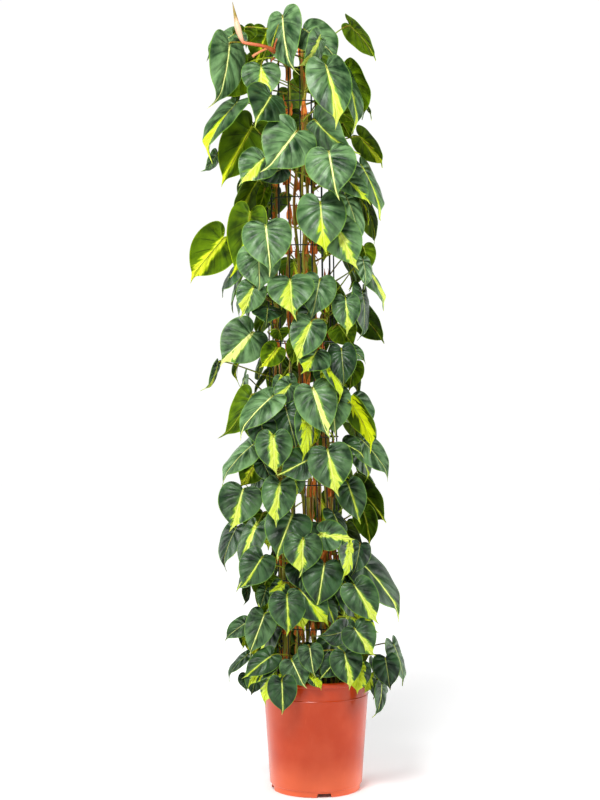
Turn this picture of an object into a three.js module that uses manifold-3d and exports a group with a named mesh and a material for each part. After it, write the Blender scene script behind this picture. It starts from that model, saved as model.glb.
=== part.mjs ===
// A potted brasil philodendron: a terracotta nursery pot filled with soil, a tube of wire mesh that
// stands in the soil, and sixteen leafy vines that climb inside the tube and reach out through it.
// Millimetres, +Z up. The origin is on the floor under the pot's axis. The viewer stands at -Y.

import * as THREE from 'three';
import { mergeVertices } from 'three/addons/utils/BufferGeometryUtils.js';
import Module from 'manifold-3d';

const wasm = await Module();
wasm.setup();

// Clearance between separate pieces
const GAP = 0.35;
const MERGE_DISTANCE = 1e-4;

// Pot
const ROUND_STEPS = 24;
const POT_HEIGHT = 245;
const RIM_RADIUS = 120;
const LIP = {
  depth: 10.5,
  underRound: 1.2,
  underRise: 2.5,
  shoulder: 3.5,
  topRound: 2.6,
  topFlat: 2.4,
  inner: 2,
};
const NECK_RADIUS = 114.6;
const BASE_RADIUS = 99.5;
const WALL = 2;
const FOOT_RADIUS = 95;
const FOOT_WALL = 3;
const STEP = { height: 14, flare: 0.5, slope: 0.6 };
const RIDGE = { height: 205, proud: 1.4, halfWidth: 1.6 };
const FLOOR = { bottom: 9, top: 11.5, cornerWidth: 3, cornerRise: 5 };
const PAD_RADIUS = 16;
const NOTCH = {
  count: 4,
  firstAzimuth: 10,
  topWidth: 28,
  bottomWidth: 33,
  height: 8.5,
  belowFloor: 1,
  inner: 80,
  outer: 104,
};
const DRAIN = { count: 4, firstAzimuth: 55, ringRadius: 60, radius: 7, sides: 8 };

// Soil
const SOIL_TOP = 226;
const SOIL_EDGE = 221;
const SOIL_CROWN_SHARE = 0.8;
const SOIL_CORNER = { width: 4, rise: 6 };
const HOLE_BOTTOM = 150;
const HOLE_RISE = 10;
const HOLE_SLACK = { wire: 3 * GAP, stem: 1.5 * GAP };

// Mesh tube
const TUBE_RADIUS = 72;
const WIRE_RADIUS = 1.5;
const WIRE_SIDES = 3;
const UPRIGHT_COUNT = 9;
const UPRIGHT_LEVELS = [HOLE_BOTTOM, 215, 480, 800, 1160, 1580];
const RING_LOWEST = 249;
const RING_PITCH = 102;
const RING_COUNT = 14;
const RING_STEPS = 9;
const RING_CLEARANCE = 15;
const WELD_DEPTH = 0.6;
const LEAN = { fromZ: 215, toZ: 1500, atFoot: -9, more: -26 };

// Stems: azimuth in degrees from the viewer's side toward the viewer's right, the height from which a
// vine carries leaves, and the height of its top
const STEM_CIRCLE = 58;
const STEM_SIDES = 6;
const STEM_RADIUS = { foot: 5, top: 3.6 };
const STEM_STEP = 260;
const STEM_WAVE = { size: 1.6, length: 85 };
const STEM_CLEAR_OF_SOIL = 8;
const VINES = [
  { azimuth: -29, leafy: 1430, top: 1545 },
  { azimuth: 11, leafy: 1380, top: 1625 },
  { azimuth: 171, leafy: 1380, top: 1610 },
  { azimuth: -69, leafy: 1080, top: 1400 },
  { azimuth: 29, leafy: 1080, top: 1375 },
  { azimuth: -171, leafy: 1080, top: 1370 },
  { azimuth: -91, leafy: 820, top: 1090 },
  { azimuth: 51, leafy: 820, top: 1085 },
  { azimuth: 149, leafy: 820, top: 1075 },
  { azimuth: -51, leafy: 540, top: 820 },
  { azimuth: 69, leafy: 540, top: 815 },
  { azimuth: -149, leafy: 540, top: 805 },
  { azimuth: -109, leafy: 225, top: 540 },
  { azimuth: -11, leafy: 225, top: 530 },
  { azimuth: 91, leafy: 225, top: 540 },
  { azimuth: 131, leafy: 225, top: 510 },
];

// The tallest vine arches out over the top of the tube and ends in a rolled new leaf: x and z as read
// from the front, and the depth
const ARCH = {
  readings: [
    [-69, 1568, -58], [-82, 1583, -82], [-97, 1597, -102], [-117, 1605, -114], [-158, 1612, -117],
  ],
  radii: [4.2, 4.4, 4.2, 3.8, 3.2],
};
const NEW_LEAF = {
  readings: [
    [-157, 1611, -117], [-163, 1625, -117], [-169, 1645, -118], [-174, 1667, -118], [-181, 1700, -119],
  ],
  radii: [3.4, 6, 7.2, 4.6, 0.8],
};

// Blades: the margin from the sinus round one lobe to the tip, as shares of length and width
const MARGIN = [[0, 0], [-0.16, 0.26], [0.12, 0.5], [0.6, 0.3], [1, 0]];
const RIB_SHARE = 0.42;
const BLADE_THICKNESS = 0.8;
const ARCH_SHARE = 0.06;
const FOLD_SHARE = 0.1;
const SLIMMEST = 0.66;
const BROADEST = 0.98;

// Petioles
const PETIOLE_RADIUS = 1.5;
const PETIOLE_SIDES = 3;
const PETIOLE_STEPS = { short: 2, long: 3, longFrom: 90 };
const PETIOLE_DROP = 30;
const PETIOLE_EXIT = { out: 42, up: 8.4, upFromArch: 14 };
const PETIOLE_ENTRY = { back: 16, under: 8 };
const ROOT_LOWEST = SOIL_TOP + 12;
const ROOT_BELOW_TOP = 4;
const ROOT_SHIFTS = [0, 14, -14, 28, -28, 44, -44];
const ARCH_FROM = 1515;
const ARCH_SPOTS = 12;

// A leaf's choice of vine: how many vines it may try, how far above its top a vine may carry a leaf, and
// the degrees of turn that count as much as a millimetre of height outside a vine's leafy stretch
const VINE_CHOICES = 3;
const REACH_ABOVE_TOP = 40;
const DEGREES_PER_MM = 0.5;

// How far a blade moves along the line of sight, or out from the tube, until it hangs free
const CLEARING_STEP = 7;
const CLEARING_STEPS = 14;

// Leaves seen from the front, read on the plane Y = 0 from the viewer's eye: x and z of the joint with
// the petiole, x and z of the tip, the width in view, the turn of the upper face from the viewer toward
// the viewer's right, the lean of the tip toward the viewer (degrees), and the depth Y of the joint.
const EYE = new THREE.Vector3(-34.7, -3357, 838);
const FRONT = -132;
const MIDDLE = -110;
const INNER = -86;
const SIDE = -42;
const FAR = 15;
const LEAVES = [
  // z above 1270
  [-178, 1630, -238, 1572, 60, -50, 5, SIDE],
  [-188, 1610, -219, 1467, 75, 20, 6, -75],
  [-150, 1565, -210, 1485, 85, 180, -8, -20],
  [-119, 1560, -120, 1477, 80, 0, 12, -95],
  [-106, 1634, -130, 1560, 75, 180, -8, -10],
  [-155, 1645, -150, 1600, 50, 180, -50, SIDE],
  [-72, 1670, -50, 1541, 75, -10, 10, -82],
  [-95, 1640, -68, 1585, 50, 180, -30, 40],
  [-27, 1641, 52, 1568, 75, 40, 10, -60],
  [8, 1621, -34, 1556, 45, 50, 12, -86],
  [22, 1561, 50, 1426, 88, 0, 10, -112],
  [62, 1553, 111, 1446, 70, 120, 0, -55],
  [62, 1545, 88, 1417, 45, 60, 6, -88],
  [30, 1478, 84, 1440, 60, 180, -20, INNER],
  [50, 1452, 78, 1400, 55, 180, -12, -60],
  [-98, 1497, -136, 1437, 95, 10, 40, -106],
  [-172, 1480, -244, 1362, 55, -70, 4, SIDE],
  [-172, 1474, -186, 1437, 25, 150, -30, FAR],
  [-140, 1427, -209, 1300, 95, 180, -6, SIDE],
  [-215, 1372, -246, 1330, 25, 60, 0, FAR],
  [-43, 1419, -113, 1328, 112, 0, 12, FRONT],
  [-112, 1362, -168, 1305, 75, -20, 14, MIDDLE],
  [-70, 1340, -132, 1312, 50, 0, 20, INNER],
  [-100, 1345, -128, 1314, 25, -40, 20, -95],
  [0, 1443, 88, 1368, 75, -45, 10, -118],
  [28, 1375, 46, 1272, 104, 0, 12, FRONT],
  [98, 1345, 140, 1228, 50, 65, 4, SIDE],
  [60, 1320, 119, 1263, 45, 20, 10, MIDDLE],
  // z from 1270 down to 1000
  [-128, 1311, -172, 1202, 70, -120, -4, SIDE],
  [-110, 1295, -133, 1236, 28, 130, -8, -50],
  [-143, 1242, -179, 1100, 80, 150, -4, -60],
  [-201, 1189, -278, 1095, 95, 180, -8, SIDE],
  [-109, 1216, -97, 1108, 100, 0, 12, FRONT],
  [-125, 1160, -121, 1068, 95, 0, 10, MIDDLE],
  [9, 1266, 20, 1152, 100, 0, 12, FRONT],
  [65, 1277, 94, 1168, 45, 50, 8, -70],
  [45, 1215, 88, 1118, 80, 10, 10, MIDDLE],
  [103, 1170, 118, 1112, 45, 180, -20, SIDE],
  [101, 1142, 106, 1078, 35, 50, 8, SIDE],
  [107, 1126, 150, 1032, 40, 75, 4, -30],
  [-56, 1099, -50, 1015, 105, 0, 30, FRONT],
  [8, 1098, -10, 1010, 75, 0, 16, MIDDLE],
  [-10, 1008, -43, 916, 72, 0, 12, FRONT],
  [64, 1057, 70, 978, 58, 0, 12, -100],
  [100, 1072, 97, 965, 35, 70, 4, -50],
  [-135, 1085, -160, 1015, 60, 0, 10, MIDDLE],
  [-105, 1036, -108, 1000, 78, 0, 55, MIDDLE],
  // z from 1000 down to 850
  [-139, 984, -213, 915, 95, 0, 10, -70],
  [-213, 917, -244, 854, 15, 70, 0, -30],
  [-85, 950, -120, 905, 50, 180, -10, -80],
  [-80, 990, -72, 962, 40, 180, -45, INNER],
  [-45, 965, -52, 910, 35, 180, -8, -84],
  [2, 945, -28, 893, 80, 0, 40, -120],
  [20, 912, 57, 834, 25, 60, 10, -125],
  [55, 948, 62, 862, 60, 0, 14, MIDDLE],
  [50, 1000, 84, 950, 60, 180, -16, -70],
  [70, 950, 110, 920, 30, 20, 20, -60],
  [80, 915, 72, 855, 50, 180, -10, -50],
  // z from 850 down to 650
  [-140, 848, -205, 752, 60, 160, -6, SIDE],
  [-95, 845, -172, 757, 60, -40, 10, -118],
  [-55, 872, -90, 822, 50, 0, 14, MIDDLE],
  [-8, 864, 26, 752, 85, 0, 12, FRONT],
  [36, 853, 42, 757, 75, 0, 10, MIDDLE],
  [80, 845, 120, 775, 70, 50, 10, -60],
  [78, 830, 125, 725, 45, 120, 2, -75],
  [98, 752, 162, 666, 55, 45, 8, -50],
  [58, 745, 105, 718, 45, 20, 24, -80],
  [-66, 822, -40, 727, 78, 0, 10, -118],
  [-22, 800, -30, 706, 40, 0, 12, -125],
  [-5, 785, -8, 735, 28, 180, -8, -84],
  [-92, 760, -90, 675, 75, 0, 12, FRONT],
  [-100, 815, -122, 768, 45, 0, 8, -92],
  [-118, 790, -112, 725, 60, 0, 10, -100],
  [-20, 707, -83, 674, 68, 0, 30, -124],
  [25, 730, 45, 628, 92, 0, 12, FRONT],
  [-135, 742, -208, 655, 45, -65, 4, -55],
  [-132, 698, -165, 647, 55, 180, -14, SIDE],
  [-125, 735, -150, 690, 50, 180, -30, -20],
  [-115, 705, -92, 655, 45, 0, 10, INNER],
  // z from 650 down to 450
  [-158, 644, -183, 552, 90, -10, 10, -70],
  [-78, 658, -88, 562, 70, 0, 12, FRONT],
  [-45, 668, -50, 622, 40, 0, 14, MIDDLE],
  [69, 657, 95, 568, 62, 10, 10, -84],
  [103, 598, 118, 520, 50, 180, -8, SIDE],
  [-52, 588, -90, 490, 95, 0, 12, MIDDLE],
  [-128, 565, -160, 460, 50, -40, 8, -80],
  [-117, 497, -163, 427, 72, 0, 12, -112],
  [-172, 562, -203, 468, 45, -50, 4, -20],
  [-28, 537, -30, 453, 88, 0, 14, FRONT],
  [12, 548, 84, 535, 62, 0, 40, -104],
  [18, 482, 2, 382, 84, 0, 12, FRONT],
  [72, 524, 58, 447, 30, 65, 6, -100],
  [95, 525, 80, 455, 50, 20, 8, -60],
  [90, 492, 188, 360, 70, 60, 4, SIDE],
  [84, 468, 138, 427, 40, 45, 12, -75],
  // z below 450
  [83, 437, 133, 350, 70, 10, 10, -100],
  [-105, 455, -125, 400, 60, 180, -10, -45],
  [-72, 440, -102, 400, 38, 0, 12, -95],
  [-63, 413, -60, 325, 75, 0, 12, FRONT],
  [-33, 425, 32, 348, 72, 0, 12, -104],
  [20, 405, 40, 344, 35, 0, 10, -100],
  [62, 445, 90, 335, 52, 0, 8, -92],
  [88, 365, 136, 331, 38, 0, 14, -96],
  [62, 338, 2, 325, 52, 0, 45, -112],
  [84, 343, 125, 280, 70, 0, 12, -116],
  [-14, 303, -4, 236, 52, 0, 12, -120],
  [-52, 273, -23, 211, 62, 0, 12, -118],
  [-74, 229, -71, 155, 60, 0, 6, -126],
  [-84, 240, -115, 177, 42, -50, 8, -100],
  [-10, 240, 14, 211, 25, 30, 6, -122],
  [48, 280, 7, 231, 48, 0, 10, -116],
  [62, 290, 77, 210, 66, 0, 12, FRONT],
  [94, 262, 89, 200, 50, 0, 12, -116],
  [118, 245, 106, 200, 26, 30, 8, -70],
  [150, 278, 160, 207, 56, 10, 8, -50],
  [168, 308, 189, 217, 30, 65, 4, -30],
  [142, 222, 127, 147, 24, 60, 4, -40],
  [126, 236, 125, 188, 20, 60, 4, FAR],
  [-112, 374, -147, 282, 62, 0, 8, -90],
  [-150, 356, -200, 317, 40, -30, 6, SIDE],
  [-160, 332, -158, 297, 15, 50, 4, -25],
  [-148, 286, -195, 232, 20, -65, 4, SIDE],
  [-95, 285, -160, 233, 50, -10, 14, -108],
  [-98, 268, -150, 214, 32, -50, 14, -100],
  [-128, 250, -140, 196, 45, 0, 8, -75],
  [-150, 242, -152, 206, 36, 0, 30, -30],
  [-108, 430, -122, 383, 34, 0, 14, -80],
  [-150, 437, -155, 392, 18, 60, 4, SIDE],
];

const DEPTH_COLUMN = 7;

// Leaves round the back, by rule: evenly up the plant and scattered over its far side. A range is its
// start, its size and the stride of its scatter; angles are in degrees
const REAR = {
  count: 48,
  lowest: 262,
  highest: 1655,
  azimuth: [96, 168, 0.618],
  distance: [102, 42, 0.41],
  lean: [8, 24, 0.53],
  sway: [-34, 68, 0.77],
  length: [84, 30, 0.29],
  turn: [-30, 60, 0.37],
  widthShare: [0.76, 0.14, 0.67],
};

// Colours
const TERRACOTTA = 0xcd5a2c;
const SOIL_BROWN = 0x1c1511;
const WIRE_GREEN = 0x1d2a22;
const LEAF_GREENS = [0x4f8a4a, 0x5f9a50, 0x3f7a44, 0x76a83c];

const UP = new THREE.Vector3(0, 0, 1);

/** The value of repeat number i in a range that is scattered evenly. */
function scattered([start, size, stride], i) {
  const share = i * stride;
  return start + size * (share - Math.floor(share));
}

/** The unit vector that points out from the tube at an azimuth in degrees. */
function outward(azimuth) {
  const angle = THREE.MathUtils.degToRad(azimuth);
  return new THREE.Vector3(Math.sin(angle), -Math.cos(angle), 0);
}

/** The centre of the leaning tube at a height. */
function tubeCentre(z) {
  const rise = THREE.MathUtils.clamp((z - LEAN.fromZ) / (LEAN.toZ - LEAN.fromZ), 0, 1);
  return new THREE.Vector3(LEAN.atFoot + LEAN.more * (1 - (1 - rise) ** 2), 0, z);
}

/** Turns a closed geometry into a solid that can be joined and cut. */
function toSolid(geometry) {
  const bare = new THREE.BufferGeometry();
  bare.setAttribute('position', geometry.getAttribute('position'));
  bare.setIndex(geometry.getIndex());
  const merged = mergeVertices(bare, MERGE_DISTANCE);
  const index = merged.getIndex().array;
  const kept = [];
  for (let i = 0; i < index.length; i += 3) {
    const [a, b, c] = [index[i], index[i + 1], index[i + 2]];
    if (a !== b && b !== c && c !== a) kept.push(a, b, c);
  }
  return new wasm.Manifold(new wasm.Mesh({
    numProp: 3,
    vertProperties: Float32Array.from(merged.getAttribute('position').array),
    triVerts: Uint32Array.from(kept),
  }));
}

/** Turns a solid back into a geometry. */
function toGeometry(solid) {
  const mesh = solid.getMesh();
  const geometry = new THREE.BufferGeometry();
  geometry.setAttribute('position', new THREE.BufferAttribute(mesh.vertProperties, 3));
  geometry.setIndex(new THREE.BufferAttribute(mesh.triVerts, 1));
  geometry.computeVertexNormals();
  return geometry;
}

/** A solid from its corners and triangles. */
function skinned(corners, index) {
  const geometry = new THREE.BufferGeometry();
  const positions = corners.flatMap((corner) => corner.toArray());
  geometry.setAttribute('position', new THREE.Float32BufferAttribute(positions, 3));
  geometry.setIndex(index);
  return toSolid(geometry);
}

/** A body turned from a profile of [radius, height] points that starts and ends on the axis. */
function turned(profile) {
  const points = profile.map(([radius, height]) => new THREE.Vector2(radius, height));
  return toSolid(new THREE.LatheGeometry(points, ROUND_STEPS).rotateX(Math.PI / 2));
}

/** The corners of a tube's sections, with one corner of the first section on the guide's side. */
function sections(points, radii, sides, guide) {
  let normal = guide;
  return points.map((point, i) => {
    const before = points[Math.max(i - 1, 0)];
    const after = points[Math.min(i + 1, points.length - 1)];
    const tangent = after.clone().sub(before).normalize();
    normal = normal.clone().addScaledVector(tangent, -normal.dot(tangent)).normalize();
    const binormal = tangent.clone().cross(normal);
    const corners = [];
    for (let k = 0; k < sides; k += 1) {
      const angle = (2 * Math.PI * k) / sides;
      corners.push(point.clone()
        .addScaledVector(normal, radii[i] * Math.cos(angle))
        .addScaledVector(binormal, radii[i] * Math.sin(angle)));
    }
    return corners;
  });
}

/** The two triangles of each side between one section, from corner number i, and the next. */
function sideTriangles(i, sides) {
  const triangles = [];
  for (let k = 0; k < sides; k += 1) {
    const next = (k + 1) % sides;
    triangles.push(i + k, i + next, i + sides + next);
    triangles.push(i + k, i + sides + next, i + sides + k);
  }
  return triangles;
}

/** A closed tapering tube through points, with a radius at each. */
function tube(points, radii, sides, guide) {
  const corners = sections(points, radii, sides, guide).flat();
  const index = [];
  const last = (points.length - 1) * sides;
  for (let i = 0; i < last; i += sides) index.push(...sideTriangles(i, sides));
  for (let k = 1; k < sides - 1; k += 1) {
    index.push(0, k + 1, k);
    index.push(last, last + k, last + k + 1);
  }
  return skinned(corners, index);
}

// Pot and soil

/** The outer radius of the pot's straight wall at a height. */
function wallRadius(z) {
  const lipBottom = POT_HEIGHT - LIP.depth;
  const share = (z - STEP.height) / (lipBottom - STEP.height);
  return THREE.MathUtils.lerp(BASE_RADIUS, NECK_RADIUS, share);
}

function insideRadius(z) {
  return wallRadius(z) - WALL;
}

function makePot() {
  const lipBottom = POT_HEIGHT - LIP.depth;
  const ridgeFoot = RIDGE.height - RIDGE.halfWidth;
  const ridgeTop = RIDGE.height + RIDGE.halfWidth;
  const cornerTop = FLOOR.top + FLOOR.cornerRise;
  let pot = turned([
    [0, 0],
    [PAD_RADIUS, 0],
    [PAD_RADIUS, FLOOR.bottom],
    [FOOT_RADIUS - FOOT_WALL, FLOOR.bottom],
    [FOOT_RADIUS - FOOT_WALL, 0],
    [FOOT_RADIUS, 0],
    [FOOT_RADIUS + STEP.flare, STEP.height - STEP.slope],
    [BASE_RADIUS, STEP.height],
    [wallRadius(ridgeFoot), ridgeFoot],
    [wallRadius(RIDGE.height) + RIDGE.proud, RIDGE.height],
    [wallRadius(ridgeTop), ridgeTop],
    [NECK_RADIUS, lipBottom],
    [RIM_RADIUS - LIP.underRound, lipBottom],
    [RIM_RADIUS, lipBottom + LIP.underRise],
    [RIM_RADIUS, POT_HEIGHT - LIP.shoulder],
    [RIM_RADIUS - LIP.topRound, POT_HEIGHT],
    [RIM_RADIUS - LIP.topRound - LIP.topFlat, POT_HEIGHT],
    [insideRadius(lipBottom), lipBottom - LIP.inner],
    [insideRadius(cornerTop), cornerTop],
    [insideRadius(FLOOR.top) - FLOOR.cornerWidth, FLOOR.top],
    [0, FLOOR.top],
  ]);
  for (let i = 0; i < NOTCH.count; i += 1) {
    pot = pot.subtract(notchCutter(NOTCH.firstAzimuth + (360 / NOTCH.count) * i));
  }
  for (let i = 0; i < DRAIN.count; i += 1) {
    pot = pot.subtract(drainCutter(DRAIN.firstAzimuth + (360 / DRAIN.count) * i));
  }
  return pot;
}

/** A drainage notch through the foot, wider at the floor than at its top. */
function notchCutter(azimuth) {
  const outline = new THREE.Shape([
    new THREE.Vector2(-NOTCH.bottomWidth / 2, -NOTCH.belowFloor),
    new THREE.Vector2(NOTCH.bottomWidth / 2, -NOTCH.belowFloor),
    new THREE.Vector2(NOTCH.topWidth / 2, NOTCH.height),
    new THREE.Vector2(-NOTCH.topWidth / 2, NOTCH.height),
  ]);
  const geometry = new THREE.ExtrudeGeometry(outline, {
    depth: NOTCH.outer - NOTCH.inner,
    bevelEnabled: false,
  });
  geometry.rotateX(Math.PI / 2);
  geometry.translate(0, -NOTCH.inner, 0);
  geometry.rotateZ(THREE.MathUtils.degToRad(azimuth));
  return toSolid(geometry);
}

function drainCutter(azimuth) {
  const depth = 3 * (FLOOR.top - FLOOR.bottom);
  const geometry = new THREE.CylinderGeometry(DRAIN.radius, DRAIN.radius, depth, DRAIN.sides);
  geometry.rotateX(Math.PI / 2);
  const centre = outward(azimuth).multiplyScalar(DRAIN.ringRadius);
  geometry.translate(centre.x, centre.y, (FLOOR.top + FLOOR.bottom) / 2);
  return toSolid(geometry);
}

/** The soil as one plug. Each cutter leaves a plain hole with the usual clearance. */
function makeSoil(cutters) {
  const foot = FLOOR.top + GAP;
  const cornerTop = FLOOR.top + SOIL_CORNER.rise;
  let soil = turned([
    [0, foot],
    [insideRadius(foot) - SOIL_CORNER.width, foot],
    [insideRadius(cornerTop) - GAP, cornerTop],
    [insideRadius(SOIL_EDGE) - GAP, SOIL_EDGE],
    [NECK_RADIUS * SOIL_CROWN_SHARE, SOIL_TOP],
    [0, SOIL_TOP],
  ]);
  cutters.forEach((cutter) => {
    soil = soil.subtract(cutter);
  });
  return soil;
}

// Mesh tube

function uprightPoints(azimuth, levels) {
  return levels.map((z) => tubeCentre(z).addScaledVector(outward(azimuth), TUBE_RADIUS));
}

/** Uprights with rings welded round their outer corners, which bite into the rings' flat insides. */
function makeMeshTube() {
  const wires = [];
  for (let i = 0; i < UPRIGHT_COUNT; i += 1) {
    const azimuth = (360 / UPRIGHT_COUNT) * i;
    const points = uprightPoints(azimuth, UPRIGHT_LEVELS);
    wires.push(tube(points, points.map(() => WIRE_RADIUS), WIRE_SIDES, outward(azimuth)));
  }
  const step = (2 * Math.PI) / RING_STEPS;
  const insideAtUpright = TUBE_RADIUS + WIRE_RADIUS - WELD_DEPTH;
  const ringRadius = insideAtUpright / Math.cos(step / 2) + WIRE_RADIUS / 2;
  for (let i = 0; i < RING_COUNT; i += 1) {
    const centre = tubeCentre(RING_LOWEST + RING_PITCH * i);
    const ring = new THREE.TorusGeometry(ringRadius, WIRE_RADIUS, WIRE_SIDES, RING_STEPS);
    ring.rotateZ(-Math.PI / 2 + step / 2);
    ring.translate(centre.x, centre.y, centre.z);
    wires.push(toSolid(ring));
  }
  return wasm.Manifold.union(wires);
}

/** The holes that the tube's uprights stand in. */
function uprightHoles() {
  const levels = [HOLE_BOTTOM - GAP, UPRIGHT_LEVELS[1], SOIL_TOP + HOLE_RISE];
  const radii = levels.map(() => WIRE_RADIUS + HOLE_SLACK.wire);
  const holes = [];
  for (let i = 0; i < UPRIGHT_COUNT; i += 1) {
    const azimuth = (360 / UPRIGHT_COUNT) * i;
    holes.push(tube(uprightPoints(azimuth, levels), radii, WIRE_SIDES, outward(azimuth)));
  }
  return holes;
}

// Stems

/** The middle of a vine's stem at a height, inside the tube. */
function stemPoint(vine, z) {
  const wave = STEM_WAVE.size * Math.sin(z / STEM_WAVE.length + vine.azimuth);
  return tubeCentre(z).addScaledVector(outward(vine.azimuth), STEM_CIRCLE + wave);
}

function stemLevels(vine) {
  const steps = Math.ceil((vine.top - SOIL_TOP) / STEM_STEP);
  const levels = [HOLE_BOTTOM];
  for (let i = 0; i <= steps; i += 1) {
    levels.push(THREE.MathUtils.lerp(SOIL_TOP + STEM_CLEAR_OF_SOIL, vine.top, i / steps));
  }
  return levels;
}

function makeStem(vine, isTallest) {
  const levels = stemLevels(vine);
  const points = levels.map((z) => stemPoint(vine, z));
  const radii = levels.map((z) => {
    const share = (z - HOLE_BOTTOM) / (vine.top - HOLE_BOTTOM);
    return THREE.MathUtils.lerp(STEM_RADIUS.foot, STEM_RADIUS.top, share);
  });
  const guide = stemGuide(vine);
  if (!isTallest) return tube(points, radii, STEM_SIDES, guide);
  points.push(...placesOf(ARCH));
  const shoot = tube(points, radii.concat(ARCH.radii), STEM_SIDES, guide);
  return shoot.add(tube(placesOf(NEW_LEAF), NEW_LEAF.radii, STEM_SIDES, guide));
}

/** Turns a stem's flats outward, so that its petioles leave from the middle of a flat. */
function stemGuide(vine) {
  return outward(vine.azimuth + 180 / STEM_SIDES);
}

function stemHole(vine) {
  const levels = [HOLE_BOTTOM - GAP, SOIL_TOP + STEM_CLEAR_OF_SOIL];
  const radii = levels.map(() => STEM_RADIUS.foot + HOLE_SLACK.stem);
  return tube(levels.map((z) => stemPoint(vine, z)), radii, STEM_SIDES, stemGuide(vine));
}

// Leaves

/** Where something read on the plane Y = 0 lies when it is at another depth. */
function alongSight(x, z, depth) {
  const read = new THREE.Vector3(x, 0, z);
  return EYE.clone().lerp(read, (depth - EYE.y) / -EYE.y);
}

/** Where the readings of the shoot lie. */
function placesOf({ readings }) {
  return readings.map(([x, z, depth]) => alongSight(x, z, depth));
}

/** A blade's joint, tip, width and upper side, from its base direction and turn. */
function makeBlade(joint, tip, faced, turn, width) {
  const along = tip.clone().sub(joint);
  const length = along.length();
  along.normalize();
  const normal = faced.clone().addScaledVector(along, -faced.dot(along)).normalize();
  normal.applyAxisAngle(along, -turn);
  const across = normal.clone().cross(along);
  return { joint, length, along, across, normal, width };
}

/** The turn in radians and the true width of a blade whose width in view is known. */
function trueWidth(width, turnDegrees, length) {
  const under = Math.abs(turnDegrees) > 90;
  const away = under ? 180 - Math.abs(turnDegrees) : Math.abs(turnDegrees);
  const slim = Math.acos(Math.min(1, width / (SLIMMEST * length)));
  const tilt = Math.max(THREE.MathUtils.degToRad(away), slim);
  const sign = turnDegrees < 0 ? -1 : 1;
  return {
    turn: sign * (under ? Math.PI - tilt : tilt),
    width: THREE.MathUtils.clamp(width / Math.cos(tilt), SLIMMEST * length, BROADEST * length),
  };
}

/** A leaf seen from the front, moved by an offset along the line of sight. */
function seenLeaf(row, offset) {
  const [xJoint, zJoint, xTip, zTip, widthInView, turnDegrees, lean, depth] = row;
  const inView = Math.hypot(xTip - xJoint, zTip - zJoint);
  const forward = inView * Math.tan(THREE.MathUtils.degToRad(lean));
  const joint = alongSight(xJoint, zJoint, depth + offset);
  const tip = alongSight(xTip, zTip, depth + offset - forward);
  const { turn, width } = trueWidth(widthInView, turnDegrees, joint.distanceTo(tip));
  return makeBlade(joint, tip, EYE.clone().sub(joint).normalize(), turn, width);
}

/** A leaf on the far side, moved out by an offset. */
function rearLeaf(i, offset) {
  const z = THREE.MathUtils.lerp(REAR.lowest, REAR.highest, i / (REAR.count - 1));
  const out = outward(scattered(REAR.azimuth, i));
  const aside = UP.clone().cross(out);
  const joint = tubeCentre(z).addScaledVector(out, scattered(REAR.distance, i) + offset);
  const lean = THREE.MathUtils.degToRad(scattered(REAR.lean, i));
  const sway = THREE.MathUtils.degToRad(scattered(REAR.sway, i));
  const turn = THREE.MathUtils.degToRad(scattered(REAR.turn, i));
  const length = scattered(REAR.length, i);
  const tip = joint.clone()
    .addScaledVector(UP, -length * Math.cos(lean) * Math.cos(sway))
    .addScaledVector(out, length * Math.sin(lean))
    .addScaledVector(aside, length * Math.sin(sway) * Math.cos(lean));
  return makeBlade(joint, tip, out, turn, length * scattered(REAR.widthShare, i));
}

/** A point of a blade: a share of its length from the joint, and of its width from the rib. */
function bladePoint(blade, a, b) {
  const height = blade.length * ARCH_SHARE * 4 * a * (1 - a) + blade.width * FOLD_SHARE * Math.abs(b);
  return blade.joint.clone()
    .addScaledVector(blade.along, a * blade.length)
    .addScaledVector(blade.across, b * blade.width)
    .addScaledVector(blade.normal, height);
}

/**
 * A leaf in one skin: a heart-shaped blade, both faces fanned alike round a spot on its rib, that
 * opens at the sinus into the last section of its petiole. The sinus is two corners wide above and
 * one below.
 */
function leafSolid(blade, path) {
  const left = MARGIN.slice(1).map(([a, b]) => [a, -b]);
  const right = MARGIN.slice(1, -1).reverse();
  const neck = PETIOLE_RADIUS / blade.width;
  const rim = [[0, -neck], ...left, ...right, [0, neck]];
  const rimUnder = [[0, 0], ...left, ...right];
  const spot = ([a, b], lift) => bladePoint(blade, a, b).addScaledVector(blade.normal, lift);
  const half = BLADE_THICKNESS / 2;
  const corners = [...rim, [RIB_SHARE, 0]].map((share) => spot(share, half));
  const rib = rim.length;
  const under = corners.length;
  corners.push(...[...rimUnder, [RIB_SHARE, 0]].map((share) => spot(share, -half)));
  const ribUnder = corners.length - 1;
  corners[under].addScaledVector(blade.normal, -PETIOLE_RADIUS / 2);
  const index = [];
  rim.forEach((_, i) => {
    index.push(i, (i + 1) % rim.length, rib);
  });
  rimUnder.forEach((_, i) => {
    const next = (i + 1) % rimUnder.length;
    index.push(under + i, ribUnder, under + next);
    index.push(i, under + i, under + next, i, under + next, i + 1);
  });
  const aside = Math.PI / (2 * PETIOLE_SIDES);
  const guide = blade.across.clone().multiplyScalar(Math.cos(aside))
    .addScaledVector(blade.normal, -Math.sin(aside));
  const skin = sections([...path].reverse(), path.map(() => PETIOLE_RADIUS), PETIOLE_SIDES, guide);
  const root = corners.length;
  skin.slice(1).reverse().forEach(([p, q, r]) => corners.push(p, r, q));
  const last = root + (skin.length - 2) * PETIOLE_SIDES;
  for (let i = root; i < last; i += PETIOLE_SIDES) index.push(...sideTriangles(i, PETIOLE_SIDES));
  const sinus = [rim.length - 1, 0, under];
  for (let k = 0; k < PETIOLE_SIDES; k += 1) {
    const next = (k + 1) % PETIOLE_SIDES;
    index.push(last + k, last + next, sinus[next], last + k, sinus[next], sinus[k]);
  }
  index.push(root, root + 2, root + 1);
  return skinned(corners, index);
}

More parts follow.
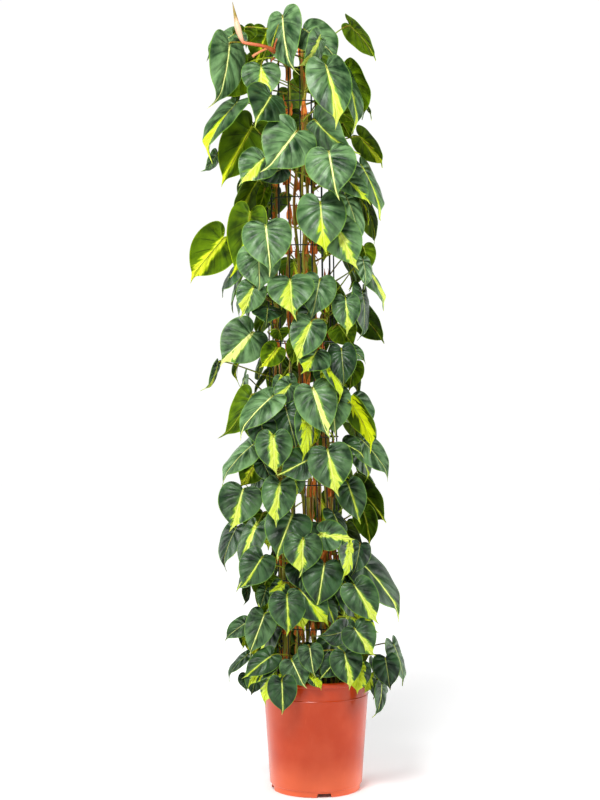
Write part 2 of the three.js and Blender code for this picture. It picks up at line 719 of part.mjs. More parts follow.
/** A height moved clear of the tube's rings, so that a petiole passes through the middle of a mesh. */
function clearOfRings(z) {
  const above = (z - RING_LOWEST) / RING_PITCH;
  if (above > RING_COUNT - 1) return z;
  const ring = RING_LOWEST + RING_PITCH * Math.floor(above);
  return THREE.MathUtils.clamp(z, ring + RING_CLEARANCE, ring + RING_PITCH - RING_CLEARANCE);
}

/** Where a petiole leaves its vine: on the stem, or on the arched shoot of the tallest one. */
function petioleRoot(vine, joint, shift) {
  const isOnArch = vine === VINES[0] && joint.z > ARCH_FROM;
  if (isOnArch) {
    const target = joint.clone().addScaledVector(UP, shift);
    const curve = new THREE.CatmullRomCurve3(placesOf(ARCH));
    const spots = curve.getPoints(ARCH_SPOTS);
    spots.sort((p, q) => p.distanceTo(target) - q.distanceTo(target));
    return { root: spots[0], exit: UP.clone().multiplyScalar(PETIOLE_EXIT.upFromArch) };
  }
  const wished = clearOfRings(joint.z - PETIOLE_DROP + shift);
  const z = THREE.MathUtils.clamp(wished, ROOT_LOWEST, vine.top - ROOT_BELOW_TOP);
  const exit = outward(vine.azimuth).multiplyScalar(PETIOLE_EXIT.out)
    .addScaledVector(UP, PETIOLE_EXIT.up);
  return { root: stemPoint(vine, z), exit };
}

/** A petiole's path from its vine to the blade's joint, arriving through the sinus from behind. */
function petiolePath(vine, blade, shift) {
  const { root, exit } = petioleRoot(vine, blade.joint, shift);
  const curve = new THREE.CubicBezierCurve3(
    root,
    root.clone().add(exit),
    blade.joint.clone()
      .addScaledVector(blade.along, -PETIOLE_ENTRY.back)
      .addScaledVector(blade.normal, -PETIOLE_ENTRY.under),
    blade.joint,
  );
  const isLong = root.distanceTo(blade.joint) > PETIOLE_STEPS.longFrom;
  return curve.getPoints(isLong ? PETIOLE_STEPS.long : PETIOLE_STEPS.short);
}

/** The vines that a leaf may grow on, best first: near in azimuth, and leafy at the leaf's height. */
function vinesFor(joint) {
  const fromTube = joint.clone().sub(tubeCentre(joint.z));
  const azimuth = THREE.MathUtils.radToDeg(Math.atan2(fromTube.x, -fromTube.y));
  const height = joint.z - PETIOLE_DROP;
  const cost = (vine) => {
    const turn = Math.abs(((azimuth - vine.azimuth + 540) % 360) - 180);
    const outside = Math.max(vine.leafy - height, height - vine.top - REACH_ABOVE_TOP, 0);
    return turn + DEGREES_PER_MM * outside;
  };
  return [...VINES].sort((p, q) => cost(p) - cost(q)).slice(0, VINE_CHOICES);
}

/** The moves that a leaf may try, nearest first. */
function offsetsFor(row) {
  const offsets = [];
  const isAtSide = row !== null && row[DEPTH_COLUMN] > INNER;
  for (let i = 0; i < CLEARING_STEPS; i += 1) {
    if (row === null) offsets.push(CLEARING_STEP * i);
    else if (isAtSide) offsets.push((i % 2 ? -1 : 1) * CLEARING_STEP * Math.ceil(i / 2));
    else offsets.push(-CLEARING_STEP * i);
  }
  return offsets;
}

function boxesMeet(a, b) {
  return [0, 1, 2].every((i) => a.min[i] - GAP < b.max[i] && b.min[i] - GAP < a.max[i]);
}

function isApart(a, b, gap) {
  if (!boxesMeet(a.box, b.box)) return true;
  return a.solid.minGap(b.solid, gap) >= gap;
}

function boxed(solid) {
  return { solid, box: solid.boundingBox() };
}

/** Whether a leaf keeps its clearance to every other leaf and piece but its own stem. */
function hangsFree(leaf, fixed, stems, placed) {
  const others = stems.filter((stem) => stem.vine !== leaf.vine);
  return [...fixed, ...others, ...placed].every((other) => isApart(leaf, other, GAP));
}

/** Tries the moves of one leaf, and the vines and heights of its petiole, until it hangs free. */
function placeLeaf(bladeAt, offsets, fixed, stems, placed) {
  const choices = vinesFor(bladeAt(0).joint);
  for (const offset of offsets) {
    const blade = bladeAt(offset);
    for (const vine of choices) {
      for (const shift of ROOT_SHIFTS) {
        const leaf = { vine, ...boxed(leafSolid(blade, petiolePath(vine, blade, shift))) };
        if (hangsFree(leaf, fixed, stems, placed)) return leaf;
      }
    }
  }
  return null;
}

/** The front leaves from the back of the picture to its front, and the lower before the upper. */
function frontOrder(rows) {
  const depth = (row) => row[DEPTH_COLUMN];
  const layer = (row) => (depth(row) > INNER ? 0 : 1);
  return [...rows].sort((p, q) => layer(p) - layer(q) || depth(q) - depth(p) || p[1] - q[1]);
}

function makeVines(fixed) {
  const stems = VINES.map((vine, i) => ({ vine, ...boxed(makeStem(vine, i === 0)) }));
  const placed = [];
  const place = (bladeAt, offsets, label) => {
    const leaf = placeLeaf(bladeAt, offsets, fixed, stems, placed);
    if (leaf === null) throw new Error(`No free place for the leaf ${label}`);
    placed.push(leaf);
  };
  frontOrder(LEAVES).forEach((row) => place((offset) => seenLeaf(row, offset), offsetsFor(row), row));
  for (let i = 0; i < REAR.count; i += 1) {
    place((offset) => rearLeaf(i, offset), offsetsFor(null), i);
  }
  return stems.map((stem) => {
    const leaves = placed.filter((leaf) => leaf.vine === stem.vine).map((leaf) => leaf.solid);
    return wasm.Manifold.union([stem.solid, ...leaves]);
  });
}

// The whole plant

const plant = new THREE.Group();

function addPiece(name, solid, color, roughness, metalness = 0) {
  const material = new THREE.MeshStandardMaterial({ color, roughness, metalness });
  const mesh = new THREE.Mesh(toGeometry(solid), material);
  mesh.name = name;
  plant.add(mesh);
}

const pot = makePot();
const soil = makeSoil([...uprightHoles(), ...VINES.map(stemHole)]);
const meshTube = makeMeshTube();
const vines = makeVines([pot, soil, meshTube].map(boxed));

addPiece('pot', pot, TERRACOTTA, 0.45);
addPiece('soil', soil, SOIL_BROWN, 0.95);
addPiece('mesh_column', meshTube, WIRE_GREEN, 0.4);
vines.forEach((vine, i) => {
  const number = String(i + 1).padStart(2, '0');
  addPiece(`vine_${number}`, vine, LEAF_GREENS[i % LEAF_GREENS.length], 0.4);
});

export default plant;
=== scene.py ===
"""The looks of a potted brasil philodendron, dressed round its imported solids.

Sizes and places are millimetres in the part's own frame, with the origin on the floor under the pot and
the viewer at -Y. A piece becomes metres when it is finished. The leaves repeat the readings and rules of
the solids, and each is looked up in the frame, so that a fine leaf hangs where its solid leaf does.
"""

from __future__ import annotations

import logging
import math
import random
from collections.abc import Callable, Iterable, Sequence
from dataclasses import dataclass, field
from enum import Enum, IntEnum
from functools import partial
from itertools import pairwise

import bmesh
import bpy
from mathutils import Matrix, Vector, kdtree, noise

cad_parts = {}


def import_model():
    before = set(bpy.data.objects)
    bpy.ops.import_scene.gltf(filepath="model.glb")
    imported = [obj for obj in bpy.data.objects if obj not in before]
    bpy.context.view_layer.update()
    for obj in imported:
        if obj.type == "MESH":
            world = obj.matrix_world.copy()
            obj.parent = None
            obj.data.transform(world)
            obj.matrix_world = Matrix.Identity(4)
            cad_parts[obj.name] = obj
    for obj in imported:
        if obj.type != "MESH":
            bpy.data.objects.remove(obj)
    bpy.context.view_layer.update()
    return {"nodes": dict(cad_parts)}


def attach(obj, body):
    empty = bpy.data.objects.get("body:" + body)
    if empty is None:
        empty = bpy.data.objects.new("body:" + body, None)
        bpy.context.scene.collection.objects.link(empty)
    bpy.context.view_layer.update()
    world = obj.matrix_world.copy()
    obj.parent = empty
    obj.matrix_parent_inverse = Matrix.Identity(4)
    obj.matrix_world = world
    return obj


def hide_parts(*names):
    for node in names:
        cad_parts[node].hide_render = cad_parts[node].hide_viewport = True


LOG = logging.getLogger("philodendron")
MM = 0.001
UP = Vector((0, 0, 1))
BODY = "root"

Colour = tuple[float, float, float, float]
Reading = tuple[float, float, float]


def paint(red: float, green: float, blue: float) -> Colour:
    """The linear colour of a screen colour from 0 to 255.

    Args:
        red: the red channel, from 0 to 255.
        green: the green channel.
        blue: the blue channel.

    Returns:
        The four linear channels.
    """

    def linear(value: float) -> float:
        """One channel without its screen curve."""
        share = value / 255
        return share / 12.92 if share <= 0.04045 else ((share + 0.055) / 1.055) ** 2.4

    return (linear(red), linear(green), linear(blue), 1.0)


def blend(low: float, high: float, share: float) -> float:
    """The number a share of the way from low to high."""
    return low + (high - low) * share


def clamp(value: float, low: float, high: float) -> float:
    """The value, kept from low to high."""
    return max(low, min(high, value))


def outward(azimuth: float) -> Vector:
    """The unit vector out of the tube at an azimuth in degrees from the viewer's side to the right."""
    angle = math.radians(azimuth)
    return Vector((math.sin(angle), -math.cos(angle), 0))


def curve_through(points: Sequence[Sequence[float]], count: int) -> list[Vector]:
    """Samples a smooth curve that passes through every point.

    Args:
        points: the points in order, of two or three coordinates each.
        count: how many samples there are between two neighbouring points.

    Returns:
        The samples, the first and last points included.
    """
    places = [Vector(point) for point in points]
    padded = [places[0], *places, places[-1]]
    samples = []
    for i in range(len(places) - 1):
        before, start, end, after = padded[i : i + 4]
        for k in range(count):
            share = k / count
            samples.append(
                0.5
                * (
                    2 * start
                    + (end - before) * share
                    + (2 * before - 5 * start + 4 * end - after) * share**2
                    + (3 * start - before - 3 * end + after) * share**3
                )
            )
    return [*samples, places[-1]]


def tree_of(spots: Sequence[Sequence[float]]) -> kdtree.KDTree:
    """A tree that finds the nearest of some places.

    Args:
        spots: the places.

    Returns:
        The tree, ready to search.
    """
    tree = kdtree.KDTree(len(spots))
    for i, spot in enumerate(spots):
        tree.insert(spot, i)
    tree.balance()
    return tree


class Signal:
    """A number that changes over a surface, with the arithmetic of Python."""

    def __init__(self, tree: bpy.types.NodeTree, socket: bpy.types.NodeSocket) -> None:
        """Wraps a socket of a node tree."""
        self.tree = tree
        self.socket = socket

    def combined(self, operation: str, *values: Signal | float) -> Signal:
        """Adds one Math node.

        Args:
            operation: the node's operation.
            values: what goes into its sockets, in order.

        Returns:
            The node's result.
        """
        node = self.tree.nodes.new("ShaderNodeMath")
        node.operation = operation
        for slot, value in zip(node.inputs, values):
            if isinstance(value, Signal):
                self.tree.links.new(value.socket, slot)
            else:
                slot.default_value = value
        return Signal(self.tree, node.outputs[0])

    def __add__(self, other: Signal | float) -> Signal:
        """The sum."""
        return self.combined("ADD", self, other)

    __radd__ = __add__

    def __sub__(self, other: Signal | float) -> Signal:
        """The difference."""
        return self.combined("SUBTRACT", self, other)

    def __rsub__(self, other: float) -> Signal:
        """The difference from a plain number."""
        return self.combined("SUBTRACT", other, self)

    def __mul__(self, other: Signal | float) -> Signal:
        """The product."""
        return self.combined("MULTIPLY", self, other)

    __rmul__ = __mul__

    def __abs__(self) -> Signal:
        """The size without its sign."""
        return self.combined("ABSOLUTE", self)

    def fraction(self) -> Signal:
        """The share past the whole part."""
        return self.combined("FRACT", self)

    def rise(self, low: float, high: float) -> Signal:
        """A smooth step from 0 at low to 1 at high, which may lie below low.

        Args:
            low: the value where the step starts.
            high: the value where it ends.

        Returns:
            The step.
        """
        node = self.tree.nodes.new("ShaderNodeMapRange")
        node.interpolation_type = "SMOOTHSTEP"
        self.tree.links.new(self.socket, node.inputs["Value"])
        node.inputs["From Min"].default_value = low
        node.inputs["From Max"].default_value = high
        return Signal(self.tree, node.outputs["Result"])


Feed = Signal | bpy.types.NodeSocket | float | Sequence[float]


class Bench:
    """A place to put nodes together, in the tree of a material or of the world."""

    def __init__(self, tree: bpy.types.NodeTree) -> None:
        """Clears the tree."""
        self.tree = tree
        self.tree.nodes.clear()

    def node(
        self,
        kind: str,
        settings: dict[str, object] | None = None,
        sockets: dict[str | int, Feed] | None = None,
    ) -> bpy.types.Node:
        """Adds any node.

        Args:
            kind: the node's type.
            settings: its own settings, set first.
            sockets: values or links of its inputs, by name or number.

        Returns:
            The node.
        """
        node = self.tree.nodes.new(kind)
        for key, value in (settings or {}).items():
            setattr(node, key, value)
        for key, value in (sockets or {}).items():
            self.feed(node.inputs[key], value)
        return node

    def feed(self, slot: bpy.types.NodeSocket, value: Feed) -> None:
        """Links a socket, or sets its value.

        Args:
            slot: the socket.
            value: what feeds it.
        """
        if isinstance(value, Signal):
            self.tree.links.new(value.socket, slot)
        elif isinstance(value, bpy.types.NodeSocket):
            self.tree.links.new(value, slot)
        else:
            slot.default_value = value

    def parts(self, vector: bpy.types.NodeSocket) -> tuple[Signal, Signal, Signal]:
        """The three coordinates of a vector."""
        node = self.node("ShaderNodeSeparateXYZ", sockets={0: vector})
        return tuple(Signal(self.tree, output) for output in node.outputs)

    def attribute(self, name: str) -> tuple[Signal, Signal, Signal]:
        """The three numbers that a piece's mesh keeps under a name."""
        node = self.node("ShaderNodeAttribute", {"attribute_name": name})
        return self.parts(node.outputs["Vector"])

    def place(self) -> bpy.types.NodeSocket:
        """The place on the object, in metres."""
        return self.node("ShaderNodeTexCoord").outputs["Object"]

    def vector(self, x: Feed, y: Feed, z: Feed) -> bpy.types.NodeSocket:
        """A vector from three numbers."""
        return self.node("ShaderNodeCombineXYZ", sockets={0: x, 1: y, 2: z}).outputs[0]

    def noise(self, vector: bpy.types.NodeSocket, scale: float, detail: float = 2) -> Signal:
        """Soft noise from 0 to 1 over a vector."""
        node = self.node("ShaderNodeTexNoise", sockets={"Vector": vector, "Scale": scale, "Detail": detail})
        return Signal(self.tree, node.outputs[0])

    def mix(self, share: Feed, first: Feed, second: Feed) -> bpy.types.NodeSocket:
        """A colour a share of the way from the first to the second."""
        node = self.node("ShaderNodeMix", {"data_type": "RGBA"}, {0: share, 6: first, 7: second})
        return node.outputs[2]

    def bump(self, height: Signal, depth: float) -> bpy.types.NodeSocket:
        """Relief of a depth in millimetres."""
        return self.node("ShaderNodeBump", sockets={"Height": height, "Distance": depth * MM}).outputs[0]


class Recipe(Bench):
    """A material while it is mixed: its nodes round one Principled shader."""

    def __init__(self, name: str, **constants: float | Colour) -> None:
        """Starts a material.

        Args:
            name: the material's name.
            constants: values of the shader's sockets that are the same all over, with underscores for
                the spaces in their names.
        """
        self.material = bpy.data.materials.new(name)
        self.material.use_nodes = True
        super().__init__(self.material.node_tree)
        self.shader = self.node("ShaderNodeBsdfPrincipled")
        self.node("ShaderNodeOutputMaterial", sockets={"Surface": self.shader.outputs[0]})
        for key, value in constants.items():
            self.shader.inputs[key.replace("_", " ")].default_value = value

    def dress(self, **feeds: Feed) -> bpy.types.Material:
        """Feeds the shader's changing sockets.

        Args:
            feeds: what feeds each socket, with underscores for the spaces in its name.

        Returns:
            The finished material.
        """
        for key, value in feeds.items():
            self.feed(self.shader.inputs[key.replace("_", " ")], value)
        return self.material


@dataclass(frozen=True)
class LeafFace:
    """The finish of one face of the blades: green, with a pale streak whose flames follow the veins.

    The green runs from dark to a lighter green and the streak from yellow to cream, with the halo round it.
    Over the green lies a painted sage sheen, silvery streaks along the veins that stand in for the
    reflection of the light above, and the vein lines are darkened with painted shade. Relief is in
    millimetres, and sinks where it is negative.
    """

    name: str
    dark: Colour
    green: Colour
    sage: Colour
    halo: Colour
    yellow: Colour
    cream: Colour
    roughness: float
    specular: float
    vein_depth: float
    gloss: float
    veins: float = 7
    flame_slope: float = 1.15

    def mixed(self) -> bpy.types.Material:
        """Mixes the material from the numbers that each blade keeps.

        Returns:
            The material.
        """
        recipe = Recipe(self.name, Specular_IOR_Level=self.specular, Coat_Roughness=0.25)
        along, across, seed = recipe.attribute("blade_flat")
        vein, spread, rib = recipe.attribute("blade_vein")
        middle, drift, base_width = recipe.attribute("blade_streak")
        tip_width, cream, sage = recipe.attribute("blade_tint_and_sheen")

        flame = along - abs(across) * self.flame_slope
        brush = recipe.noise(recipe.vector(flame * 6, across * 2.5, seed * 37), 1, 3)
        fibre = recipe.noise(recipe.vector(flame * 46, across * 9, seed * 71), 1, 2)
        tone = recipe.noise(recipe.vector(vein * 4, spread * 1.4, seed * 53), 1, 2)
        silk = recipe.noise(recipe.vector(vein * 15, spread * 1.6, seed * 19), 1, 3)
        crinkle = recipe.noise(recipe.vector(along * 13, across * 13, seed * 23), 1, 3)
        half = base_width + (tip_width - base_width) * along
        far = abs(across - middle - drift * along) - half + (brush - 0.5) * (half * 3.2 + 0.03)
        patch = far.rise(0.008, -0.008) * (1 - fibre.rise(0.66, 0.74) * 0.6)
        halo = (far + (fibre - 0.5) * 0.05).rise(0.055, 0.0) * half.rise(-0.01, 0.05)
        ribs = (abs(across) + along * 0.012).rise(0.024, 0.013) * rib
        lines = abs((vein * self.veins).fraction() - 0.5) * 2
        vein_groove_shade = lines.rise(0.18, 0.0) * abs(spread).rise(1.0, 0.5)
        edge = abs(spread).rise(0.955, 0.99)

        # The green lightens with the share of painted sage sheen, which also carries the painted shade of
        # the lower leaves.
        base = recipe.mix(tone.rise(0.3, 0.7) * 0.6 + sage * 0.26, self.dark, self.green)
        # Painted sheen: pale silvery streaks along the veins, in the sage sheen colour, stand in for the
        # reflection of the light above.
        pale = (silk * 0.7 + crinkle * 0.14 + tone * 0.45).rise(0.44, 0.9) * sage
        base = recipe.mix(pale, base, self.sage)
        # Painted shade: the vein lines are darkened as if shade lay in their grooves.
        base = recipe.mix(vein_groove_shade * 0.65, base, self.dark)
        base = recipe.mix(halo * 0.75, base, self.halo)
        bright = recipe.mix(cream * 0.85 + (fibre - 0.55) * 0.9, self.yellow, self.cream)
        colour = recipe.mix(patch, base, bright)
        colour = recipe.mix(ribs, colour, recipe.mix(cream + 0.2, self.yellow, self.cream))
        colour = recipe.mix(edge * 0.5, colour, self.halo)

        furrow = lines.rise(0.0, 0.8) * abs(across).rise(0.0, 0.05)
        grain = recipe.noise(recipe.place(), 700, 2)
        relief = furrow * 0.9 + grain * 0.1 + silk * 0.9 + tone * 0.6 + crinkle * 0.5
        return recipe.dress(
            Base_Color=colour,
            Roughness=self.roughness + (silk - 0.5) * 0.2 + patch * 0.05,
            Coat_Weight=tone.rise(0.36, 0.62) * self.gloss,
            Normal=recipe.bump(relief, self.vein_depth),
        )


# The sage colours of both faces are the colours of their painted sheen.
UPPER_FACE = LeafFace(
    name="leaf_upper_face",
    dark=paint(5, 22, 11),
    green=paint(40, 84, 36),
    sage=paint(132, 172, 112),
    halo=paint(122, 168, 40),
    yellow=paint(180, 200, 8),
    cream=paint(228, 232, 146),
    roughness=0.4,
    specular=0.25,
    vein_depth=1.7,
    gloss=0.16,
)
# The under face's vivid yellow-green is partly its own paler colour and partly painted light shining
# through the blade.
UNDER_FACE = LeafFace(
    name="leaf_under_face",
    dark=paint(12, 24, 1),
    green=paint(66, 102, 1),
    sage=paint(112, 142, 6),
    halo=paint(160, 186, 8),
    yellow=paint(190, 204, 10),
    cream=paint(226, 228, 90),
    roughness=0.6,
    specular=0.06,
    vein_depth=-1.1,
    gloss=0.02,
)


@dataclass(frozen=True)
class Bark:
    """The finish of stems, petioles, roots, sheaths and wire: two colours, long streaks and rings.

    Streaks and patches are counts to the metre, and relief is in millimetres.
    """

    name: str
    light: Colour
    deep: Colour
    streaks: float = 60
    patches: float = 14
    roughness: float = 0.5
    relief: float = 0.35

    def mixed(self) -> bpy.types.Material:
        """Mixes the material over the place on the object.

        Returns:
            The material.
        """
        recipe = Recipe(self.name, Specular_IOR_Level=0.2)
        x, y, z = recipe.parts(recipe.place())
        long_way = recipe.vector(x * 9, y * 9, z)
        patch = recipe.noise(long_way, self.patches, 3)
        streak = recipe.noise(long_way, self.streaks, 3)
        ring = recipe.noise(recipe.vector(x, y, z * 6), 70, 1)
        share = (patch * 0.75 + streak * 0.35).rise(0.38, 0.68)
        return recipe.dress(
            Base_Color=recipe.mix(share, self.deep, self.light),
            Roughness=self.roughness + (streak - 0.5) * 0.25,
            Normal=recipe.bump(streak * 0.6 + ring * 0.5, self.relief),
        )


STEM_BARK = Bark("stem_bark", paint(146, 152, 48), paint(140, 80, 24), relief=0.5)
PETIOLE_SKIN = Bark("petiole_skin", paint(142, 166, 28), paint(104, 76, 14), patches=9, roughness=0.42)
ROOT_BARK = Bark("root_bark", paint(176, 80, 24), paint(70, 30, 10), roughness=0.7)
SHEATH_PAPER = Bark("sheath_paper", paint(224, 132, 52), paint(168, 70, 14), streaks=150, roughness=0.65)
WIRE_COAT = Bark("wire_coat", paint(26, 40, 30), paint(9, 14, 11), roughness=0.36, relief=0.1)


@dataclass(frozen=True)
class ShootSkin:
    """The finish of the young shoot: it passes through three colours along a line.

    The changes are the shares of the way where the second colour begins and is full, and then the third.
    """

    name: str
    start: Vector
    end: Vector
    colours: tuple[Colour, Colour, Colour]
    changes: tuple[float, float, float, float] = (0.0, 0.55, 0.7, 1.0)

    def mixed(self) -> bpy.types.Material:
        """Mixes the material over the place between the start and the end.

        Returns:
            The material.
        """
        recipe = Recipe(self.name, Specular_IOR_Level=0.5, Subsurface_Weight=0.08)
        way = (self.end - self.start) * MM
        x, y, z = recipe.parts(recipe.place())
        along = (x - self.start.x * MM) * way.x + (y - self.start.y * MM) * way.y
        along = (along + (z - self.start.z * MM) * way.z) * (1 / way.length_squared)
        fibre = recipe.noise(recipe.vector(x * 6, y * 6, z), 160, 3)
        first, second, third = self.colours
        leave_first, at_second, leave_second, at_third = self.changes
        share = along + (fibre - 0.5) * 0.3
        colour = recipe.mix(share.rise(leave_first, at_second), first, second)
        return recipe.dress(
            Base_Color=recipe.mix(share.rise(leave_second, at_third), colour, third),
            Roughness=0.36 + fibre * 0.16,
            Normal=recipe.bump(fibre, 0.35),
        )


@dataclass(frozen=True)
class MouldedPlastic:
    """The finish of the pot: terracotta-coloured plastic, scuffed, splashed by soil, and paler low down
    with a painted reflection of the pale floor.
    """

    name: str = "terracotta_plastic"
    body: Colour = field(default_factory=lambda: paint(168, 50, 0))
    # The pale colour serves the random cloud, the scuffs and the painted reflection low down.
    pale: Colour = field(default_factory=lambda: paint(220, 102, 60))
    dirt: Colour = field(default_factory=lambda: paint(112, 52, 30))

    def mixed(self) -> bpy.types.Material:
        """Mixes the material over the place on the object.

        Returns:
            The material.
        """
        recipe = Recipe(
            self.name, Specular_IOR_Level=0.2, Coat_Roughness=0.16, Sheen_Weight=0.06, Sheen_Roughness=0.3
        )
        place = recipe.place()
        x, y, z = recipe.parts(place)
        cloud = recipe.noise(place, 16, 3)
        speck = recipe.noise(place, 420, 2)
        scuff = recipe.noise(recipe.vector(x, y, z * 0.12), 230, 2).rise(0.66, 0.74)
        # Painted reflection: the wall grows paler towards the foot, as if it mirrored the pale floor.
        low = z.rise(0.09, 0.0)
        peel = recipe.noise(place, 1500, 1)
        flow = recipe.noise(recipe.vector(x * 3, y * 3, z * 0.4), 30, 2)
        colour = recipe.mix(cloud.rise(0.35, 0.7) * 0.15 + low * 0.75, self.body, self.pale)
        colour = recipe.mix(speck.rise(0.7, 0.78) * 0.3, colour, self.dirt)
        colour = recipe.mix(scuff * 0.12, colour, self.pale)
        return recipe.dress(
            Base_Color=colour,
            Roughness=0.26 + cloud * 0.1 + scuff * 0.16,
            Coat_Weight=0.28 + cloud * 0.12,
            Normal=recipe.bump(peel * 0.25 + flow * 0.6 + scuff * 0.2, 0.25),
        )


@dataclass(frozen=True)
class PottingSoil:
    """The finish of the soil: dark, damp and fibrous, with paler crumbs."""

    name: str = "potting_soil"
    damp: Colour = field(default_factory=lambda: paint(24, 17, 12))
    dry: Colour = field(default_factory=lambda: paint(66, 47, 33))

    def mixed(self) -> bpy.types.Material:
        """Mixes the material over the place on the object.

        Returns:
            The material.
        """
        recipe = Recipe(self.name, Specular_IOR_Level=0.3)
        place = recipe.place()
        crumb = recipe.noise(place, 260, 5)
        cloud = recipe.noise(place, 30, 2)
        share = (crumb * 0.7 + cloud * 0.4).rise(0.45, 0.85)
        return recipe.dress(
            Base_Color=recipe.mix(share, self.damp, self.dry),
            Roughness=0.95 - cloud * 0.25,
            Normal=recipe.bump(crumb, 2.5),
        )


@dataclass(frozen=True)
class StudioPaper:
    """The finish of the pale floor, which passes into the white round it by a painted glow that is no lamp
    and stays dark under the pot.

    Its reaches are squares of the distance from the pot's axis, in square metres.
    """

    name: str = "studio_paper"
    white: Colour = field(default_factory=lambda: paint(250, 250, 250))
    black: Colour = (0.0, 0.0, 0.0, 1.0)
    glow_reach: tuple[float, float] = (-2.0, 5.0)
    under_pot: tuple[float, float] = (0.007, 0.02)

    def mixed(self) -> bpy.types.Material:
        """Mixes a matt white that glows more the farther it lies from the plant.

        Returns:
            The material.
        """
        recipe = Recipe(self.name, Base_Color=self.white, Specular_IOR_Level=0.1, Emission_Strength=0.8)
        place = recipe.place()
        x, y, _ = recipe.parts(place)
        tooth = recipe.noise(place, 300, 2)
        away = x * x + y * y
        # Painted glow: the floor glows more the farther it lies from the plant, and not at all under the
        # pot.
        painted_glow_share = away.rise(*self.glow_reach) * away.rise(*self.under_pot)
        glow = recipe.mix(painted_glow_share, self.black, self.white)
        return recipe.dress(Roughness=0.8 + tooth * 0.1, Emission_Color=glow)


class Workpiece:
    """A mesh under construction in millimetres, which becomes one object in metres."""

    scrap: bpy.types.Mesh | None = None

    def __init__(self, name: str, slot: str, *materials: bpy.types.Material) -> None:
        """Starts an empty piece.

        Args:
            name: the piece's name.
            slot: the material slot that it belongs to, which is not used.
            materials: its finishes, by number.
        """
        self.name = name
        self.slot = slot
        self.materials = materials
        self.mesh = bmesh.new()

    def take(self, part: bmesh.types.BMesh, finish: int | None = None) -> None:
        """Adds a part to the piece and frees the part.

        Args:
            part: the part.
            finish: the number of its material, or none where its faces have their own.
        """
        for face in part.faces:
            face.smooth = True
            if finish is not None:
                face.material_index = finish
        if Workpiece.scrap is None:
            Workpiece.scrap = bpy.data.meshes.new("scrap")
        part.to_mesh(Workpiece.scrap)
        part.free()
        self.mesh.from_mesh(Workpiece.scrap)

    def sweep(self, points: Sequence[Vector], radii: Sequence[float], sides: int, finish: int = 0) -> None:
        """Adds a closed round tube.

        Args:
            points: the middle line.
            radii: the radius at each point.
            sides: how many sides it has.
            finish: the number of its material.
        """
        part = bmesh.new()
        normal = UP.orthogonal()
        rings = []
        for i, (point, radius) in enumerate(zip(points, radii)):
            way = (points[min(i + 1, len(points) - 1)] - points[max(i - 1, 0)]).normalized()
            normal = normal - way * normal.dot(way)
            normal = normal.normalized() if normal.length > 1e-3 else way.orthogonal().normalized()
            turn = Matrix((normal, way.cross(normal), way)).transposed().to_4x4()
            place = Matrix.Translation(point) @ turn
            made = bmesh.ops.create_circle(part, segments=sides, radius=radius, matrix=place)
            rings.append({edge for vertex in made["verts"] for edge in vertex.link_edges})
        for lower, upper in pairwise(rings):
            bmesh.ops.bridge_loops(part, edges=[*lower, *upper])
        bmesh.ops.holes_fill(part, edges=part.edges[:], sides=sides)
        bmesh.ops.recalc_face_normals(part, faces=part.faces[:])
        self.take(part, finish)

    def finished(self, sharp: float | None = None, *replaced: str) -> bpy.types.Object:
        """Makes the object, in metres and riding on the part's one body.

        Args:
            sharp: the angle in degrees past which an edge is sharp, if any is.
            replaced: the nodes of the frame that the piece stands for.

        Returns:
            The object.
        """
        bmesh.ops.scale(self.mesh, vec=(MM, MM, MM), verts=self.mesh.verts[:])
        data = bpy.data.meshes.new(self.name)
        self.mesh.to_mesh(data)
        self.mesh.free()
        if sharp is not None:
            data.set_sharp_from_angle(angle=math.radians(sharp))
        for material in self.materials:
            data.materials.append(material)
        made = bpy.data.objects.new(self.name, data)
        bpy.context.scene.collection.objects.link(made)
        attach(made, BODY)
        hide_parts(*replaced)
        data.calc_loop_triangles()
        LOG.info("%s: %d triangles", self.name, len(data.loop_triangles))
        return made


@dataclass(frozen=True)
class VineRule:
    """One vine: the azimuth of its stem, the height where its leaves begin, and its top."""

    azimuth: float
    leafy: float
    top: float


VINES = (
    VineRule(-29, 1430, 1545),
    VineRule(11, 1380, 1625),
    VineRule(171, 1380, 1610),
    VineRule(-69, 1080, 1400),
    VineRule(29, 1080, 1375),
    VineRule(-171, 1080, 1370),
    VineRule(-91, 820, 1090),
    VineRule(51, 820, 1085),
    VineRule(149, 820, 1075),
    VineRule(-51, 540, 820),
    VineRule(69, 540, 815),
    VineRule(-149, 540, 805),
    VineRule(-109, 225, 540),
    VineRule(-11, 225, 530),
    VineRule(91, 225, 540),
    VineRule(131, 225, 510),
)


